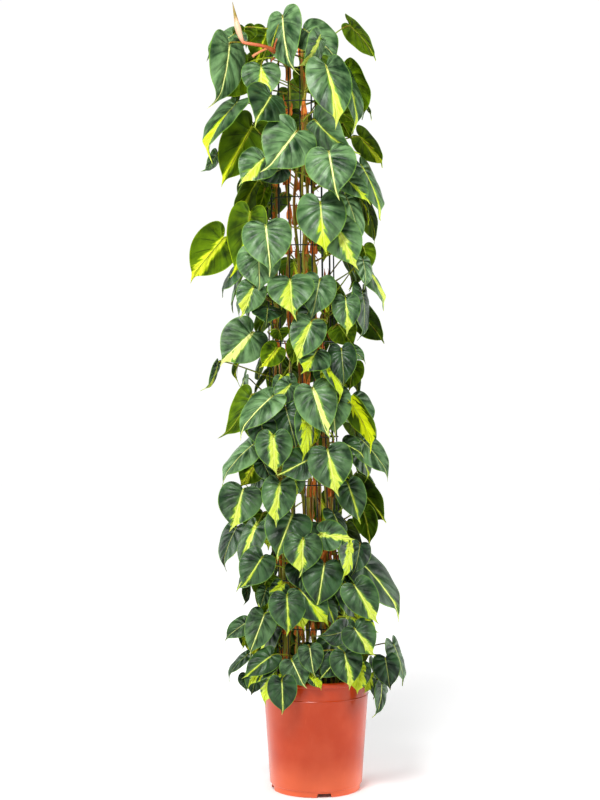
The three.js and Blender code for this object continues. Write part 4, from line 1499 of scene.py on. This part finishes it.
@dataclass(frozen=True)
class DryEnd:
    """A dead stub on the shoot: its line as read from the front, its radii and its finish's number."""

    readings: tuple[Reading, ...]
    radii: tuple[float, ...]
    finish: int = 0


@dataclass(frozen=True)
class Shoot:
    """The tallest vine's shoot: its arch, its rolled new leaf and the dry ends beside them.

    Each place is x and z as read from the front, and the depth. The swellings are the numbers of the
    arch's samples round its node, with what each adds to the radius. The sheet of the new leaf starts at
    the seam, an angle in radians, and is wound tighter from front to back than from side to side.
    """

    arch: tuple[Reading, ...] = (
        (-69, 1568, -58),
        (-82, 1583, -82),
        (-97, 1597, -102),
        (-117, 1605, -114),
        (-158, 1612, -117),
    )
    arch_radii: tuple[float, ...] = (4.2, 4.4, 4.2, 3.8, 3.2)
    arch_samples: int = 7
    arch_sides: int = 12
    swellings: tuple[tuple[int, float], ...] = ((12, 0.4), (13, 0.9), (14, 1.3), (15, 0.9), (16, 0.4))
    ends: tuple[DryEnd, ...] = (
        DryEnd(((-104, 1600, -108), (-122, 1592, -116), (-138, 1582, -120)), (2.6, 2.4, 2.9), 1),
        DryEnd(((-90, 1590, -96), (-90, 1604, -100), (-84, 1621, -104)), (3.0, 2.2, 1.6)),
        DryEnd(((-80, 1581, -80), (-92, 1578, -90), (-98, 1570, -94)), (2.6, 2.0, 0.8)),
        DryEnd(((-76, 1576, -72), (-70, 1584, -78), (-62, 1588, -82)), (2.8, 2.2, 1.4)),
    )
    end_samples: int = 4
    rolled: tuple[Reading, ...] = (
        (-157, 1611, -117),
        (-163, 1625, -117),
        (-169, 1645, -118),
        (-174, 1667, -118),
        (-181, 1700, -119),
    )
    rolled_radii: tuple[float, ...] = (3.2, 6.6, 8.3, 4.8, 0.8)
    rolled_samples: int = 6
    rolled_columns: int = 44
    turns: float = 1.7
    seam: float = 0.9
    sheet: float = 0.7
    tightness: float = 0.8
    core: float = 0.45
    half_sheet: float = 0.3
    slimmest: float = 0.5
    sides: int = 8

    def places(self, readings: Sequence[Reading]) -> list[Vector]:
        """Where readings lie."""
        return [PLACING.along_sight(*reading) for reading in readings]

    def spots(self) -> list[Vector]:
        """Places along the arch."""
        return curve_through(self.places(self.arch), 3)

    def radii(self, radii: Sequence[float], count: int) -> list[float]:
        """The radii at every sample of a curve."""
        return [sample.x for sample in curve_through([(radius, 0) for radius in radii], count)]

    def arched(self) -> bpy.types.Object:
        """Makes the arch, which passes from brown to coral red, with its nodes and dry ends.

        Returns:
            The object.
        """
        root, *_, tip = self.places(self.arch)
        colours = (paint(112, 70, 22), paint(170, 82, 36), paint(206, 108, 68))
        skin = ShootSkin("shoot_skin", root, tip, colours)
        stub_colours = (paint(214, 140, 96), paint(206, 120, 70), colours[1])
        stub_skin = ShootSkin("stub_skin", tip, root, stub_colours)
        piece = Workpiece("vine_01_shoot", "foliage", skin.mixed(), stub_skin.mixed())
        radii = self.radii(self.arch_radii, self.arch_samples)
        for number, more in self.swellings:
            radii[number] += more
        piece.sweep(curve_through(self.places(self.arch), self.arch_samples), radii, self.arch_sides)
        for end in self.ends:
            points = curve_through(self.places(end.readings), self.end_samples)
            piece.sweep(points, self.radii(end.radii, self.end_samples), self.sides, end.finish)
        return piece.finished()

    def rolled_leaf(self) -> bpy.types.Object:
        """Makes the new leaf as a sheet rolled round its own length, closed in a long point.

        Returns:
            The object.
        """
        places = self.places(self.rolled)
        colours = (paint(206, 112, 74), paint(226, 180, 144), paint(136, 112, 26))
        skin = ShootSkin("new_leaf_skin", places[0], places[-1], colours, (-0.05, 0.2, 0.5, 0.68))
        piece = Workpiece("vine_01_new_leaf", "foliage", skin.mixed())
        middle = curve_through(places, self.rolled_samples)
        radii = self.radii(self.rolled_radii, self.rolled_samples)
        last = len(middle) - 1
        part = bmesh.new()
        bmesh.ops.create_grid(part, x_segments=last, y_segments=self.rolled_columns, size=1)
        for vertex in part.verts:
            step = round((vertex.co.x + 1) / 2 * last)
            wound = (vertex.co.y + 1) / 2
            way = (middle[min(step + 1, last)] - middle[max(step - 1, 0)]).normalized()
            side = way.cross(Vector((0, -1, 0))).normalized()
            front = side.cross(way)
            angle = math.tau * self.turns * wound + self.seam
            radius = max(radii[step] - self.half_sheet, self.slimmest) * (0.5 + 0.5 * wound)
            spot = side * (math.cos(angle) * radius) + front * (math.sin(angle) * radius * self.tightness)
            vertex.co = middle[step] + spot
        bmesh.ops.recalc_face_normals(part, faces=part.faces[:])
        bmesh.ops.solidify(part, geom=part.faces[:], thickness=self.sheet)
        bmesh.ops.recalc_face_normals(part, faces=part.faces[:])
        if part.calc_volume(signed=True) < 0:
            bmesh.ops.reverse_faces(part, faces=part.faces[:])
        piece.take(part)
        piece.sweep(middle, [max(radius * self.core, self.slimmest) for radius in radii], self.sides)
        return piece.finished()


SHOOT = Shoot()


class Skin(IntEnum):
    """The finishes of a vine without its blades, in the order of its materials."""

    STEM = 0
    PETIOLE = 1
    ROOT = 2
    SHEATH = 3


@dataclass(frozen=True)
class Vine:
    """One vine: its stem with nodes, roots and dry sheaths, its petioles and its blades.

    A pair of numbers is the least and the greatest value that a chance draw gives. The rib's rows are
    shares of the blade's length, each with the radius there.
    """

    number: int
    leaves: tuple[Leaf, ...]
    seed_stride: int = 17
    foot: float = 150
    foot_radius: float = 4.5
    top_radius: float = 3.5
    stem_sides: int = 10
    sample: float = 11
    node_pitch: float = 74
    node_swell: float = 1.1
    node_reach: float = 4
    waist: float = 0.4
    nodes_from: float = 240
    root_counts: tuple[int, ...] = (1, 2, 3)
    root_turn: float = 60
    root_out: float = 2
    root_length: tuple[float, float] = (14, 46)
    root_away: float = 0.45
    root_rise: tuple[float, float] = (-1, 0.5)
    root_sway: float = 8
    root_radius: tuple[float, float] = (0.8, 1.2)
    root_taper: float = 0.45
    root_sides: int = 5
    second_sheath: float = 0.8
    sheath_turn: float = 75
    sheath_out: float = 3
    sheath_length: tuple[float, float] = (26, 52)
    sheath_flare: tuple[float, float] = (0.04, 0.45)
    sheath_width: tuple[float, float] = (8, 14)
    petiole_radii: tuple[float, float, float] = (2.3, 1.4, 1.7)
    petiole_sides: int = 6
    rib: tuple[tuple[float, float], ...] = ((0.07, 1.2), (0.25, 0.9), (0.45, 0.7), (0.65, 0.5), (0.85, 0.3))
    rib_below: float = 0.2
    rib_sunk: float = 0.6
    sharp: float = 50

    @property
    def name(self) -> str:
        """The vine's node in the frame."""
        return f"vine_{self.number:02d}"

    def stem_radius(self, z: float, top: float) -> float:
        """The stem's radius at a height: it tapers, and swells at each node.

        Args:
            z: the height.
            top: the height of the stem's top.

        Returns:
            The radius.
        """
        share = (z - self.foot) / (top - self.foot)
        to_node = abs((z - self.foot) / self.node_pitch % 1 - 0.5) * self.node_pitch
        swell = self.node_swell * math.exp(-((to_node / self.node_reach) ** 2))
        return blend(self.foot_radius, self.top_radius, share) - self.waist + swell

    def nodes(self, top: float) -> list[float]:
        """The heights of the nodes above the soil.

        Args:
            top: the height of the stem's top.

        Returns:
            The heights from the lowest up.
        """
        first = self.foot + self.node_pitch / 2
        count = int((top - first) / self.node_pitch) + 1
        heights = [first + self.node_pitch * i for i in range(count)]
        return [z for z in heights if z > self.nodes_from]

    def stem(self, flat: bmesh.types.BMesh, bark: Sequence[bpy.types.Material]) -> bpy.types.Object:
        """Makes the stem with all that grows on it but the blades.

        Args:
            flat: the flat shape of a sheath.
            bark: the finishes of the stem, the petioles, the roots and the sheaths.

        Returns:
            The object.
        """
        rule = VINES[self.number - 1]
        chance = random.Random(self.number * self.seed_stride)
        piece = Workpiece(f"{self.name}_stem", "foliage", *bark)
        count = math.ceil((rule.top - self.foot) / self.sample)
        heights = [blend(self.foot, rule.top, i / count) for i in range(count + 1)]
        points = [COLUMN.on_stem(rule, z) for z in heights]
        radii = [self.stem_radius(z, rule.top) for z in heights]
        if self.number == 1:
            points.append(SHOOT.places(SHOOT.arch)[0])
            radii.append(SHOOT.arch_radii[0])
        piece.sweep(points, radii, self.stem_sides, Skin.STEM)
        for z in self.nodes(rule.top):
            self.root(piece, rule, z, chance)
            self.sheath(piece, flat, rule, z, chance)
            if chance.random() < self.second_sheath:
                self.sheath(piece, flat, rule, z, chance)
        for leaf in self.leaves:
            self.petiole(piece, leaf)
        return piece.finished()

    def root(self, piece: Workpiece, rule: VineRule, z: float, chance: random.Random) -> None:
        """Adds one to three thin roots at a node, which hang or creep along the tube.

        Args:
            piece: the piece that they are added to.
            rule: the vine's stem.
            z: the node's height.
            chance: the draws of this vine.
        """
        for _ in range(chance.choice(self.root_counts)):
            azimuth = rule.azimuth + chance.uniform(-self.root_turn, self.root_turn)
            start = COLUMN.on_stem(rule, z) + outward(rule.azimuth) * self.root_out
            reach = chance.uniform(*self.root_length)
            rise = chance.uniform(*self.root_rise)
            end = start + outward(azimuth) * (reach * self.root_away) + UP * (reach * rise)
            aside = outward(azimuth + 90) * chance.uniform(-self.root_sway, self.root_sway)
            points = curve_through([start, start.lerp(end, 0.5) + aside, end], 4)
            thick = chance.uniform(*self.root_radius)
            steps = len(points) - 1
            radii = [blend(thick, thick * self.root_taper, i / steps) for i in range(steps + 1)]
            piece.sweep(points, radii, self.root_sides, Skin.ROOT)

    def sheath(
        self, piece: Workpiece, flat: bmesh.types.BMesh, rule: VineRule, z: float, chance: random.Random
    ) -> None:
        """Adds a dry papery sheath that stands along the stem above a node.

        Args:
            piece: the piece that it is added to.
            flat: the flat shape of a sheath.
            rule: the vine's stem.
            z: the node's height.
            chance: the draws of this vine.
        """
        azimuth = rule.azimuth + chance.uniform(-self.sheath_turn, self.sheath_turn)
        length = chance.uniform(*self.sheath_length)
        out = outward(azimuth)
        joint = COLUMN.on_stem(rule, z) + out * self.sheath_out
        tip = joint + UP * length + out * (length * chance.uniform(*self.sheath_flare))
        blade = Blade.hung(joint, tip, out, 0, chance.uniform(*self.sheath_width))
        part = SHEATH.hang(flat, Leaf(blade, [], self.number, Look.PLAIN, chance.random()))
        piece.take(part, Skin.SHEATH)

    def petiole(self, piece: Workpiece, leaf: Leaf) -> None:
        """Adds a leaf's petiole, which runs on under the blade as its tapering rib.

        Args:
            piece: the piece that it is added to.
            leaf: the leaf.
        """
        root, middle, joint = self.petiole_radii
        steps = len(leaf.petiole) - 1
        radii = []
        for i in range(steps + 1):
            share = 2 * i / steps
            radii.append(blend(root, middle, share) if share < 1 else blend(middle, joint, share - 1))
        points = list(leaf.petiole)
        for along, radius in self.rib:
            rise = HEART.height(leaf.blade, along, 0, 0, 0, leaf.seed)
            points.append(leaf.blade.point(along, 0, rise - self.rib_below - radius * self.rib_sunk))
            radii.append(radius)
        piece.sweep(points, radii, self.petiole_sides, Skin.PETIOLE)

    def foliage(self, flat: bmesh.types.BMesh, faces: Sequence[bpy.types.Material]) -> bpy.types.Object:
        """Makes the blades of the vine.

        Args:
            flat: the flat heart shape.
            faces: the finishes of the upper and the under face.

        Returns:
            The object.
        """
        piece = Workpiece(f"{self.name}_leaves", "foliage", *faces)
        for leaf in self.leaves:
            piece.take(HEART.hang(flat, leaf))
        return piece.finished(self.sharp, self.name)


@dataclass(frozen=True)
class NurseryPot:
    """The pot: moulded in one wall, with a rolled lip, a fine raised line and a notched foot.

    It has as many drain holes as notches, and the first of each has its azimuth in degrees.
    """

    height: float = 245
    rim: float = 120
    neck: float = 114.6
    base: float = 99.5
    wall: float = 2
    lip_depth: float = 10.5
    step: float = 14
    ridge: float = 205
    foot: float = 95
    foot_wall: float = 3
    pad: float = 16
    floor_bottom: float = 9
    floor_top: float = 11.5
    drain_ring: float = 60
    drain_radius: float = 7
    drain_depth: float = 16
    drain_sides: int = 28
    first_drain: float = 55
    first_notch: float = 10
    notch_half_top: float = 14
    notch_half_foot: float = 16.5
    notch_height: float = 8.5
    notch_below: float = 2
    notch_inner: float = 80
    notch_outer: float = 104
    cuts: int = 4
    segments: int = 144
    merging: float = 1e-3
    sharp: float = 38

    def wall_radius(self, z: float) -> float:
        """The outer radius of the straight wall at a height."""
        share = (z - self.step) / (self.height - self.lip_depth - self.step)
        return blend(self.base, self.neck, share)

    def profile(self) -> list[tuple[float, float]]:
        """The radius and height of each corner, from the middle of the pad round to the floor.

        Returns:
            The corners, with the small roundings of a moulded edge.
        """
        lip = self.height - self.lip_depth
        inside = self.wall_radius(lip) - self.wall
        return [
            (0, 0.4),
            (self.pad - 1.2, 0),
            (self.pad, 1),
            (self.pad, self.floor_bottom - 1),
            (self.pad + 1.4, self.floor_bottom),
            (self.foot - self.foot_wall - 1, self.floor_bottom),
            (self.foot - self.foot_wall, self.floor_bottom - 1.2),
            (self.foot - self.foot_wall + 0.2, 0.6),
            (self.foot - self.foot_wall + 0.8, 0),
            (self.foot - 0.9, 0),
            (self.foot, 0.9),
            (self.foot + 0.45, self.step - 1.4),
            (self.foot + 0.9, self.step - 0.7),
            (self.base - 0.8, self.step),
            (self.base, self.step + 1),
            (self.wall_radius(self.ridge - 1.6), self.ridge - 1.6),
            (self.wall_radius(self.ridge) + 0.9, self.ridge - 0.7),
            (self.wall_radius(self.ridge) + 1.3, self.ridge),
            (self.wall_radius(self.ridge) + 0.9, self.ridge + 0.7),
            (self.wall_radius(self.ridge + 1.6), self.ridge + 1.6),
            (self.neck, lip + 0.2),
            (self.rim - 1.8, lip),
            (self.rim - 0.7, lip + 0.5),
            (self.rim - 0.1, lip + 2),
            (self.rim, lip + 4.5),
            (self.rim - 0.2, self.height - 3),
            (self.rim - 0.8, self.height - 1.3),
            (self.rim - 1.8, self.height - 0.4),
            (self.rim - 3, self.height),
            (self.rim - 4.4, self.height - 0.3),
            (inside + 1.2, self.height - 2),
            (inside + 0.2, lip - 0.5),
            (inside, lip - 3),
            (self.wall_radius(self.floor_top + 6) - self.wall, self.floor_top + 6),
            (self.wall_radius(self.floor_top + 1.5) - self.wall - 1, self.floor_top + 1.5),
            (self.wall_radius(self.floor_top) - self.wall - 3.5, self.floor_top),
            (0, self.floor_top),
        ]

    def cutters(self) -> bpy.types.Object:
        """Makes the shapes that cut the four notches and the four drain holes.

        Returns:
            The object.
        """
        tools = bmesh.new()
        for i in range(self.cuts):
            azimuth = 360 / self.cuts * i
            turn = Matrix.Rotation(math.radians(self.first_notch + azimuth), 4, "Z")
            made = bmesh.ops.create_cube(tools, size=1)
            for vertex in made["verts"]:
                x, y, z = vertex.co
                half = self.notch_half_top if z > 0 else self.notch_half_foot
                depth = blend(-self.notch_inner, -self.notch_outer, 0.5 - y)
                height = self.notch_height if z > 0 else -self.notch_below
                vertex.co = turn @ Vector((math.copysign(half, x), depth, height))
            place = outward(self.first_drain + azimuth) * self.drain_ring + UP * self.floor_top
            bmesh.ops.create_cone(
                tools,
                cap_ends=True,
                segments=self.drain_sides,
                radius1=self.drain_radius,
                radius2=self.drain_radius,
                depth=self.drain_depth,
                matrix=Matrix.Translation(place),
            )
        bmesh.ops.scale(tools, vec=(MM, MM, MM), verts=tools.verts[:])
        data = bpy.data.meshes.new("pot_cutters")
        tools.to_mesh(data)
        tools.free()
        made = bpy.data.objects.new("pot_cutters", data)
        bpy.context.scene.collection.objects.link(made)
        return made

    def built(self, plastic: bpy.types.Material) -> bpy.types.Object:
        """Turns the pot from its profile, then cuts its notches and drain holes.

        Args:
            plastic: its finish.

        Returns:
            The object.
        """
        part = bmesh.new()
        corners = [part.verts.new((radius, 0, z)) for radius, z in self.profile()]
        edges = [part.edges.new(pair) for pair in pairwise(corners)]
        bmesh.ops.spin(
            part,
            geom=[*corners, *edges],
            cent=(0, 0, 0),
            axis=UP,
            angle=math.tau,
            steps=self.segments,
            use_merge=True,
        )
        bmesh.ops.remove_doubles(part, verts=part.verts[:], dist=self.merging)
        bmesh.ops.recalc_face_normals(part, faces=part.faces[:])
        piece = Workpiece("nursery_pot", "pot", plastic)
        piece.take(part)
        made = piece.finished(None, "pot")
        tools = self.cutters()
        cut = made.modifiers.new("notches_and_drains", "BOOLEAN")
        cut.operation = "DIFFERENCE"
        cut.solver = "EXACT"
        cut.object = tools
        whole = bpy.context.evaluated_depsgraph_get()
        made.data = bpy.data.meshes.new_from_object(made.evaluated_get(whole))
        made.modifiers.clear()
        bpy.data.objects.remove(tools)
        made.data.set_sharp_from_angle(angle=math.radians(self.sharp))
        LOG.info("%s: cut to %d faces", made.name, len(made.data.polygons))
        return made


@dataclass(frozen=True)
class SoilBed:
    """The surface of the soil: crumbs and bark bits over the plain solid.

    The solid is level within its crown and falls to its edge at its reach.
    """

    top: float = 226
    edge: float = 221
    crown: float = 91.7
    reach: float = 111.2
    cells: int = 112
    raised: float = 1.2
    lump: float = 2.5
    crumb: float = 4.2
    thickness: float = 4
    bits: int = 240
    bit_radius: tuple[float, float] = (1.2, 3.4)
    bits_inside: float = 4
    seed: int = 5

    def lie(self, x: float, y: float) -> float:
        """The height of the crumbly surface at a place.

        Args:
            x: the place to the right.
            y: the place to the back.

        Returns:
            The height.
        """
        radius = math.hypot(x, y)
        fall = clamp((radius - self.crown) / (self.reach - self.crown), 0, 1)
        big = noise.noise(Vector((x, y, 3)) * 0.045)
        fine = abs(noise.noise(Vector((x, y, 9)) * 0.21)) + 0.5 * abs(noise.noise(Vector((x, y, 27)) * 0.5))
        return blend(self.top, self.edge, fall) + self.raised + self.lump * big + self.crumb * fine

    def crumbs(self, earth: bpy.types.Material) -> bpy.types.Object:
        """Makes the crumbly surface with loose bits of bark on it.

        Args:
            earth: its finish.

        Returns:
            The object.
        """
        piece = Workpiece("soil_crumbs", "soil", earth)
        sheet = bmesh.new()
        bmesh.ops.create_grid(sheet, x_segments=self.cells, y_segments=self.cells, size=self.reach)
        for vertex in sheet.verts:
            x, y, _ = vertex.co
            stretch = max(abs(x), abs(y)) / max(math.hypot(x, y), 1e-6)
            x, y = x * stretch, y * stretch
            vertex.co = (x, y, self.lie(x, y))
        bmesh.ops.solidify(sheet, geom=sheet.faces[:], thickness=self.thickness)
        bmesh.ops.recalc_face_normals(sheet, faces=sheet.faces[:])
        piece.take(sheet)
        chance = random.Random(self.seed)
        for _ in range(self.bits):
            radius = (self.reach - self.bits_inside) * math.sqrt(chance.random())
            azimuth = chance.uniform(0, 360)
            size = chance.uniform(*self.bit_radius)
            place = outward(azimuth) * radius
            place.z = self.lie(place.x, place.y) + size * 0.3
            bit = bmesh.new()
            bmesh.ops.create_icosphere(bit, subdivisions=1, radius=size)
            turn = Matrix.Rotation(chance.uniform(0, 3), 4, Vector((chance.random(), chance.random(), 1)))
            flat = Matrix.Diagonal((chance.uniform(0.8, 1.9), 0.9, chance.uniform(0.4, 0.8), 1))
            bmesh.ops.transform(bit, matrix=Matrix.Translation(place) @ turn @ flat, verts=bit.verts[:])
            piece.take(bit)
        return piece.finished()


SOIL_BED = SoilBed()


@dataclass(frozen=True)
class Filling:
    """Smaller leaves close to the tube, which fill the sides and the depth between the solid leaves.

    A leaf is kept where it clears every other and, seen from the front, lies behind or between them. A
    pair of numbers is the least and the greatest value that a chance draw gives. A window is the left,
    right, low and high side of a stretch where the tube can be seen through.
    """

    wanted: int = 84
    tries: int = 6000
    seed: int = 11
    clearance: float = 13
    cover: float = 24
    above_soil: float = 6
    pot_reach: float = 128
    lowest: float = 256
    highest: float = 1590
    near: float = 74
    reach: float = 62
    front: float = 40
    front_room: float = 0.25
    length: tuple[float, float] = (62, 100)
    lean: tuple[float, float] = (0, 38)
    most_sway: float = 40
    most_turn: float = 40
    width_share: tuple[float, float] = (0.78, 0.95)
    spacing: float = 0.2
    half_width: float = 0.5
    widest_at: float = 0.25
    windows: tuple[tuple[float, float, float, float], ...] = ((-62, 45, 1070, 1300), (-40, 45, 610, 780))

    def spots(self, blade: Blade) -> list[Vector]:
        """Places all over a blade, spaced by a share of its length.

        Args:
            blade: the blade.

        Returns:
            The places.
        """
        found = []
        count = round(1 / self.spacing)
        for i in range(-1, count + 1):
            a = i * self.spacing
            past = (a - self.widest_at) ** 2 / (1 - self.widest_at) ** 2
            half = self.half_width * math.sqrt(max(0, 1 - past))
            for j in range(-2, 3):
                b = half * j / 2
                found.append(blade.point(a, b, blade.length * HEART.arch * 4 * a * (1 - a)))
        return found

    def in_view(self, place: Vector) -> Vector:
        """Where a place is seen on the plane Y = 0."""
        seen = EYE.lerp(place, -EYE.y / (place.y - EYE.y))
        return Vector((seen.x, 0, seen.z))

    def in_window(self, seen: Vector) -> bool:
        """Whether something seen there hides a part of the tube that can be seen through."""
        return any(left < seen.x < right and low < seen.z < high for left, right, low, high in self.windows)

    def candidate(self, chance: random.Random) -> Blade:
        """A blade at a chance place round the tube, which hangs and faces outwards.

        Args:
            chance: the draws of the filling.

        Returns:
            The blade.
        """
        z = chance.uniform(self.lowest, self.highest)
        azimuth = chance.uniform(-180, 180)
        out = outward(azimuth)
        room = self.front_room if abs(azimuth) < self.front else 1
        joint = COLUMN.centre(z) + out * (self.near + self.reach * room * chance.random())
        length = chance.uniform(*self.length)
        lean = math.radians(chance.uniform(*self.lean))
        sway = math.radians(chance.uniform(-self.most_sway, self.most_sway))
        aside = UP.cross(out) * (math.sin(sway) * math.cos(lean))
        way = aside + out * math.sin(lean) - UP * (math.cos(lean) * math.cos(sway))
        turn = math.radians(chance.uniform(-self.most_turn, self.most_turn))
        width = length * chance.uniform(*self.width_share)
        return Blade.hung(joint, joint + way * length, out, turn, width)

    def fits(self, spots: Sequence[Vector], taken: kdtree.KDTree, seen: kdtree.KDTree) -> bool:
        """Whether a blade clears the pot and every leaf, and hides no window and no white beside them.

        Args:
            spots: places all over the blade.
            taken: the places that other leaves take.
            seen: where the leaves that hang already are seen from the front.

        Returns:
            Whether it fits.
        """
        for spot in spots:
            place = self.in_view(spot)
            low = spot.z < SOIL_BED.top + self.above_soil
            if low and math.hypot(spot.x, spot.y) < self.pot_reach:
                return False
            if taken.find(spot)[2] < self.clearance or seen.find(place)[2] > self.cover:
                return False
            if self.in_window(place):
                return False
        return True

    def hung(self, leaves: Sequence[Leaf]) -> list[Blade]:
        """Finds room for the blades.

        Args:
            leaves: the leaves that hang already.

        Returns:
            The new blades.
        """
        chance = random.Random(self.seed)
        spots = [spot for leaf in leaves for spot in self.spots(leaf.blade)]
        seen = tree_of([self.in_view(spot) for spot in spots])
        taken = tree_of(spots)
        found: list[Blade] = []
        for _ in range(self.tries):
            blade = self.candidate(chance)
            added = self.spots(blade)
            if not self.fits(added, taken, seen):
                continue
            found.append(blade)
            if len(found) == self.wanted:
                break
            spots.extend(added)
            taken = tree_of(spots)
        return found


@dataclass
class Plant:
    """The plant: all its leaves sorted to their vines.

    A leaf's number times the golden share gives its seed, and the far and inner looks come in turn. The
    inner leaves take mostly dark looks, as painted shade in the depth of the plant.
    """

    packed: PackedVines
    golden: float = 0.618034
    first_inner: int = 200
    far_looks: tuple[Look, ...] = (
        Look.PLAIN,
        Look.YELLOW_LINE,
        Look.SAGE,
        Look.RIGHT,
        Look.DARK_LINE,
        Look.WIDENING,
        Look.LEFT,
        Look.LINE,
        Look.DARK,
    )
    # Mostly dark looks: painted shade for the leaves deep inside the plant.
    shaded_inner_looks: tuple[Look, ...] = (
        Look.DARK,
        Look.LIME,
        Look.DARK_LINE,
        Look.DARK,
        Look.TAIL,
        Look.DARK_LINE,
        Look.YELLOW_LINE,
    )
    leaves: list[Leaf] = field(default_factory=list)

    def __post_init__(self) -> None:
        """Hangs every leaf where its solid leaf hangs, then the smaller ones between them."""
        for i, (*reading, look) in enumerate(LEAVES):
            self.add(*self.packed.found(partial(PLACING.seen, reading)), look, i)
        far = FarSide()
        for i in range(far.count):
            look = self.far_looks[i % len(self.far_looks)]
            self.add(*self.packed.found(partial(PLACING.far, far, i)), look, len(LEAVES) + i)
        for i, blade in enumerate(Filling().hung(self.leaves)):
            look = self.shaded_inner_looks[i % len(self.shaded_inner_looks)]
            self.add(blade, PLACING.vine_for(blade.joint), 0, look, self.first_inner + i)

    def add(self, blade: Blade, vine: int, shift: float, look: Look, number: int) -> None:
        """Adds a leaf on a vine."""
        path = PLACING.path(PLACING.petiole(vine, blade, shift), PLACING.petiole_steps)
        self.leaves.append(Leaf(blade, path, vine, look, number * self.golden % 1))

    def built(self) -> None:
        """Makes every vine, and the tallest one's shoot."""
        heart = HEART.cut()
        sheath = SHEATH.cut()
        faces = [UPPER_FACE.mixed(), UNDER_FACE.mixed()]
        bark = [finish.mixed() for finish in (STEM_BARK, PETIOLE_SKIN, ROOT_BARK, SHEATH_PAPER)]
        for number in range(1, len(VINES) + 1):
            vine = Vine(number, tuple(leaf for leaf in self.leaves if leaf.vine == number))
            LOG.info("%s carries %d leaves", vine.name, len(vine.leaves))
            vine.stem(sheath, bark)
            vine.foliage(heart, faces)
        heart.free()
        sheath.free()
        SHOOT.arched()
        SHOOT.rolled_leaf()


@dataclass(frozen=True)
class Softbox:
    """One soft light of the studio."""

    name: str
    place: tuple[float, float, float]
    aim: tuple[float, float, float]
    size: tuple[float, float]
    power: float

    def hung(self) -> bpy.types.Object:
        """Hangs the light.

        Returns:
            The object.
        """
        lamp = bpy.data.lights.new(self.name, "AREA")
        lamp.shape = "RECTANGLE"
        lamp.size, lamp.size_y = self.size
        lamp.energy = self.power
        made = bpy.data.objects.new(self.name, lamp)
        bpy.context.scene.collection.objects.link(made)
        made.location = self.place
        way = Vector(self.aim) - Vector(self.place)
        made.rotation_euler = way.to_track_quat("-Z", "Y").to_euler()
        return made


@dataclass(frozen=True)
class Studio:
    """The pale floor, the soft lights and the camera."""

    high_air: float = 0.15
    level_air: float = 1.02
    air_change: tuple[float, float] = (0.4, 0.27)
    floor_half: float = 12
    lens: float = 69.75
    sensor: float = 36
    sight: float = 60
    lights: tuple[Softbox, ...] = (
        Softbox("key", (-0.7, -2.3, 3.1), (0, 0, 1.15), (1.1, 0.8), 104),
        Softbox("left", (-1.7, 0.1, 0.75), (0, 0, 0.6), (1.2, 1.5), 27),
        Softbox("right", (1.7, 0.1, 0.75), (0, 0, 0.6), (1.2, 1.5), 27),
    )

    def air(self) -> bpy.types.World:
        """Makes the soft light all round: white at the height of the eye, and dimmer overhead.

        Returns:
            The world.
        """
        world = bpy.data.worlds.new("studio_air")
        world.use_nodes = True
        bench = Bench(world.node_tree)
        way = bench.node("ShaderNodeTexCoord").outputs["Generated"]
        _, _, z = bench.parts(way)
        bright = z.rise(*self.air_change) * (self.level_air - self.high_air) + self.high_air
        light = bench.node("ShaderNodeBackground", sockets={"Color": (1, 1, 1, 1), "Strength": bright})
        bench.node("ShaderNodeOutputWorld", sockets={"Surface": light.outputs[0]})
        return world

    def built(self) -> None:
        """Lays the floor, lights it and sets the camera at the photograph's viewing angle."""
        scene = bpy.context.scene
        scene.view_settings.view_transform = "Standard"
        scene.world = self.air()
        floor = bmesh.new()
        bmesh.ops.create_grid(floor, x_segments=4, y_segments=4, size=self.floor_half)
        data = bpy.data.meshes.new("studio_floor")
        floor.to_mesh(data)
        floor.free()
        data.materials.append(StudioPaper().mixed())
        made = bpy.data.objects.new("studio_floor", data)
        scene.collection.objects.link(made)
        for light in self.lights:
            light.hung()
        lens = bpy.data.cameras.new("photo_camera")
        lens.lens = self.lens
        lens.sensor_width = self.sensor
        lens.clip_end = self.sight
        camera = bpy.data.objects.new("photo_camera", lens)
        camera.location = EYE * MM
        camera.rotation_euler = (math.pi / 2, 0, 0)
        scene.collection.objects.link(camera)
        scene.camera = camera


def main() -> None:
    """Loads the frame and builds every sub-assembly."""
    logging.basicConfig(level=logging.INFO, format="%(name)s: %(message)s")
    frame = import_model()
    earth = PottingSoil().mixed()
    solid_soil = frame["nodes"]["soil"].data
    solid_soil.materials.clear()
    solid_soil.materials.append(earth)
    NurseryPot().built(MouldedPlastic().mixed())
    SOIL_BED.crumbs(earth)
    COLUMN.built()
    Plant(PackedVines.of(frame["nodes"])).built()
    Studio().built()


if __name__ == "__main__":
    main()
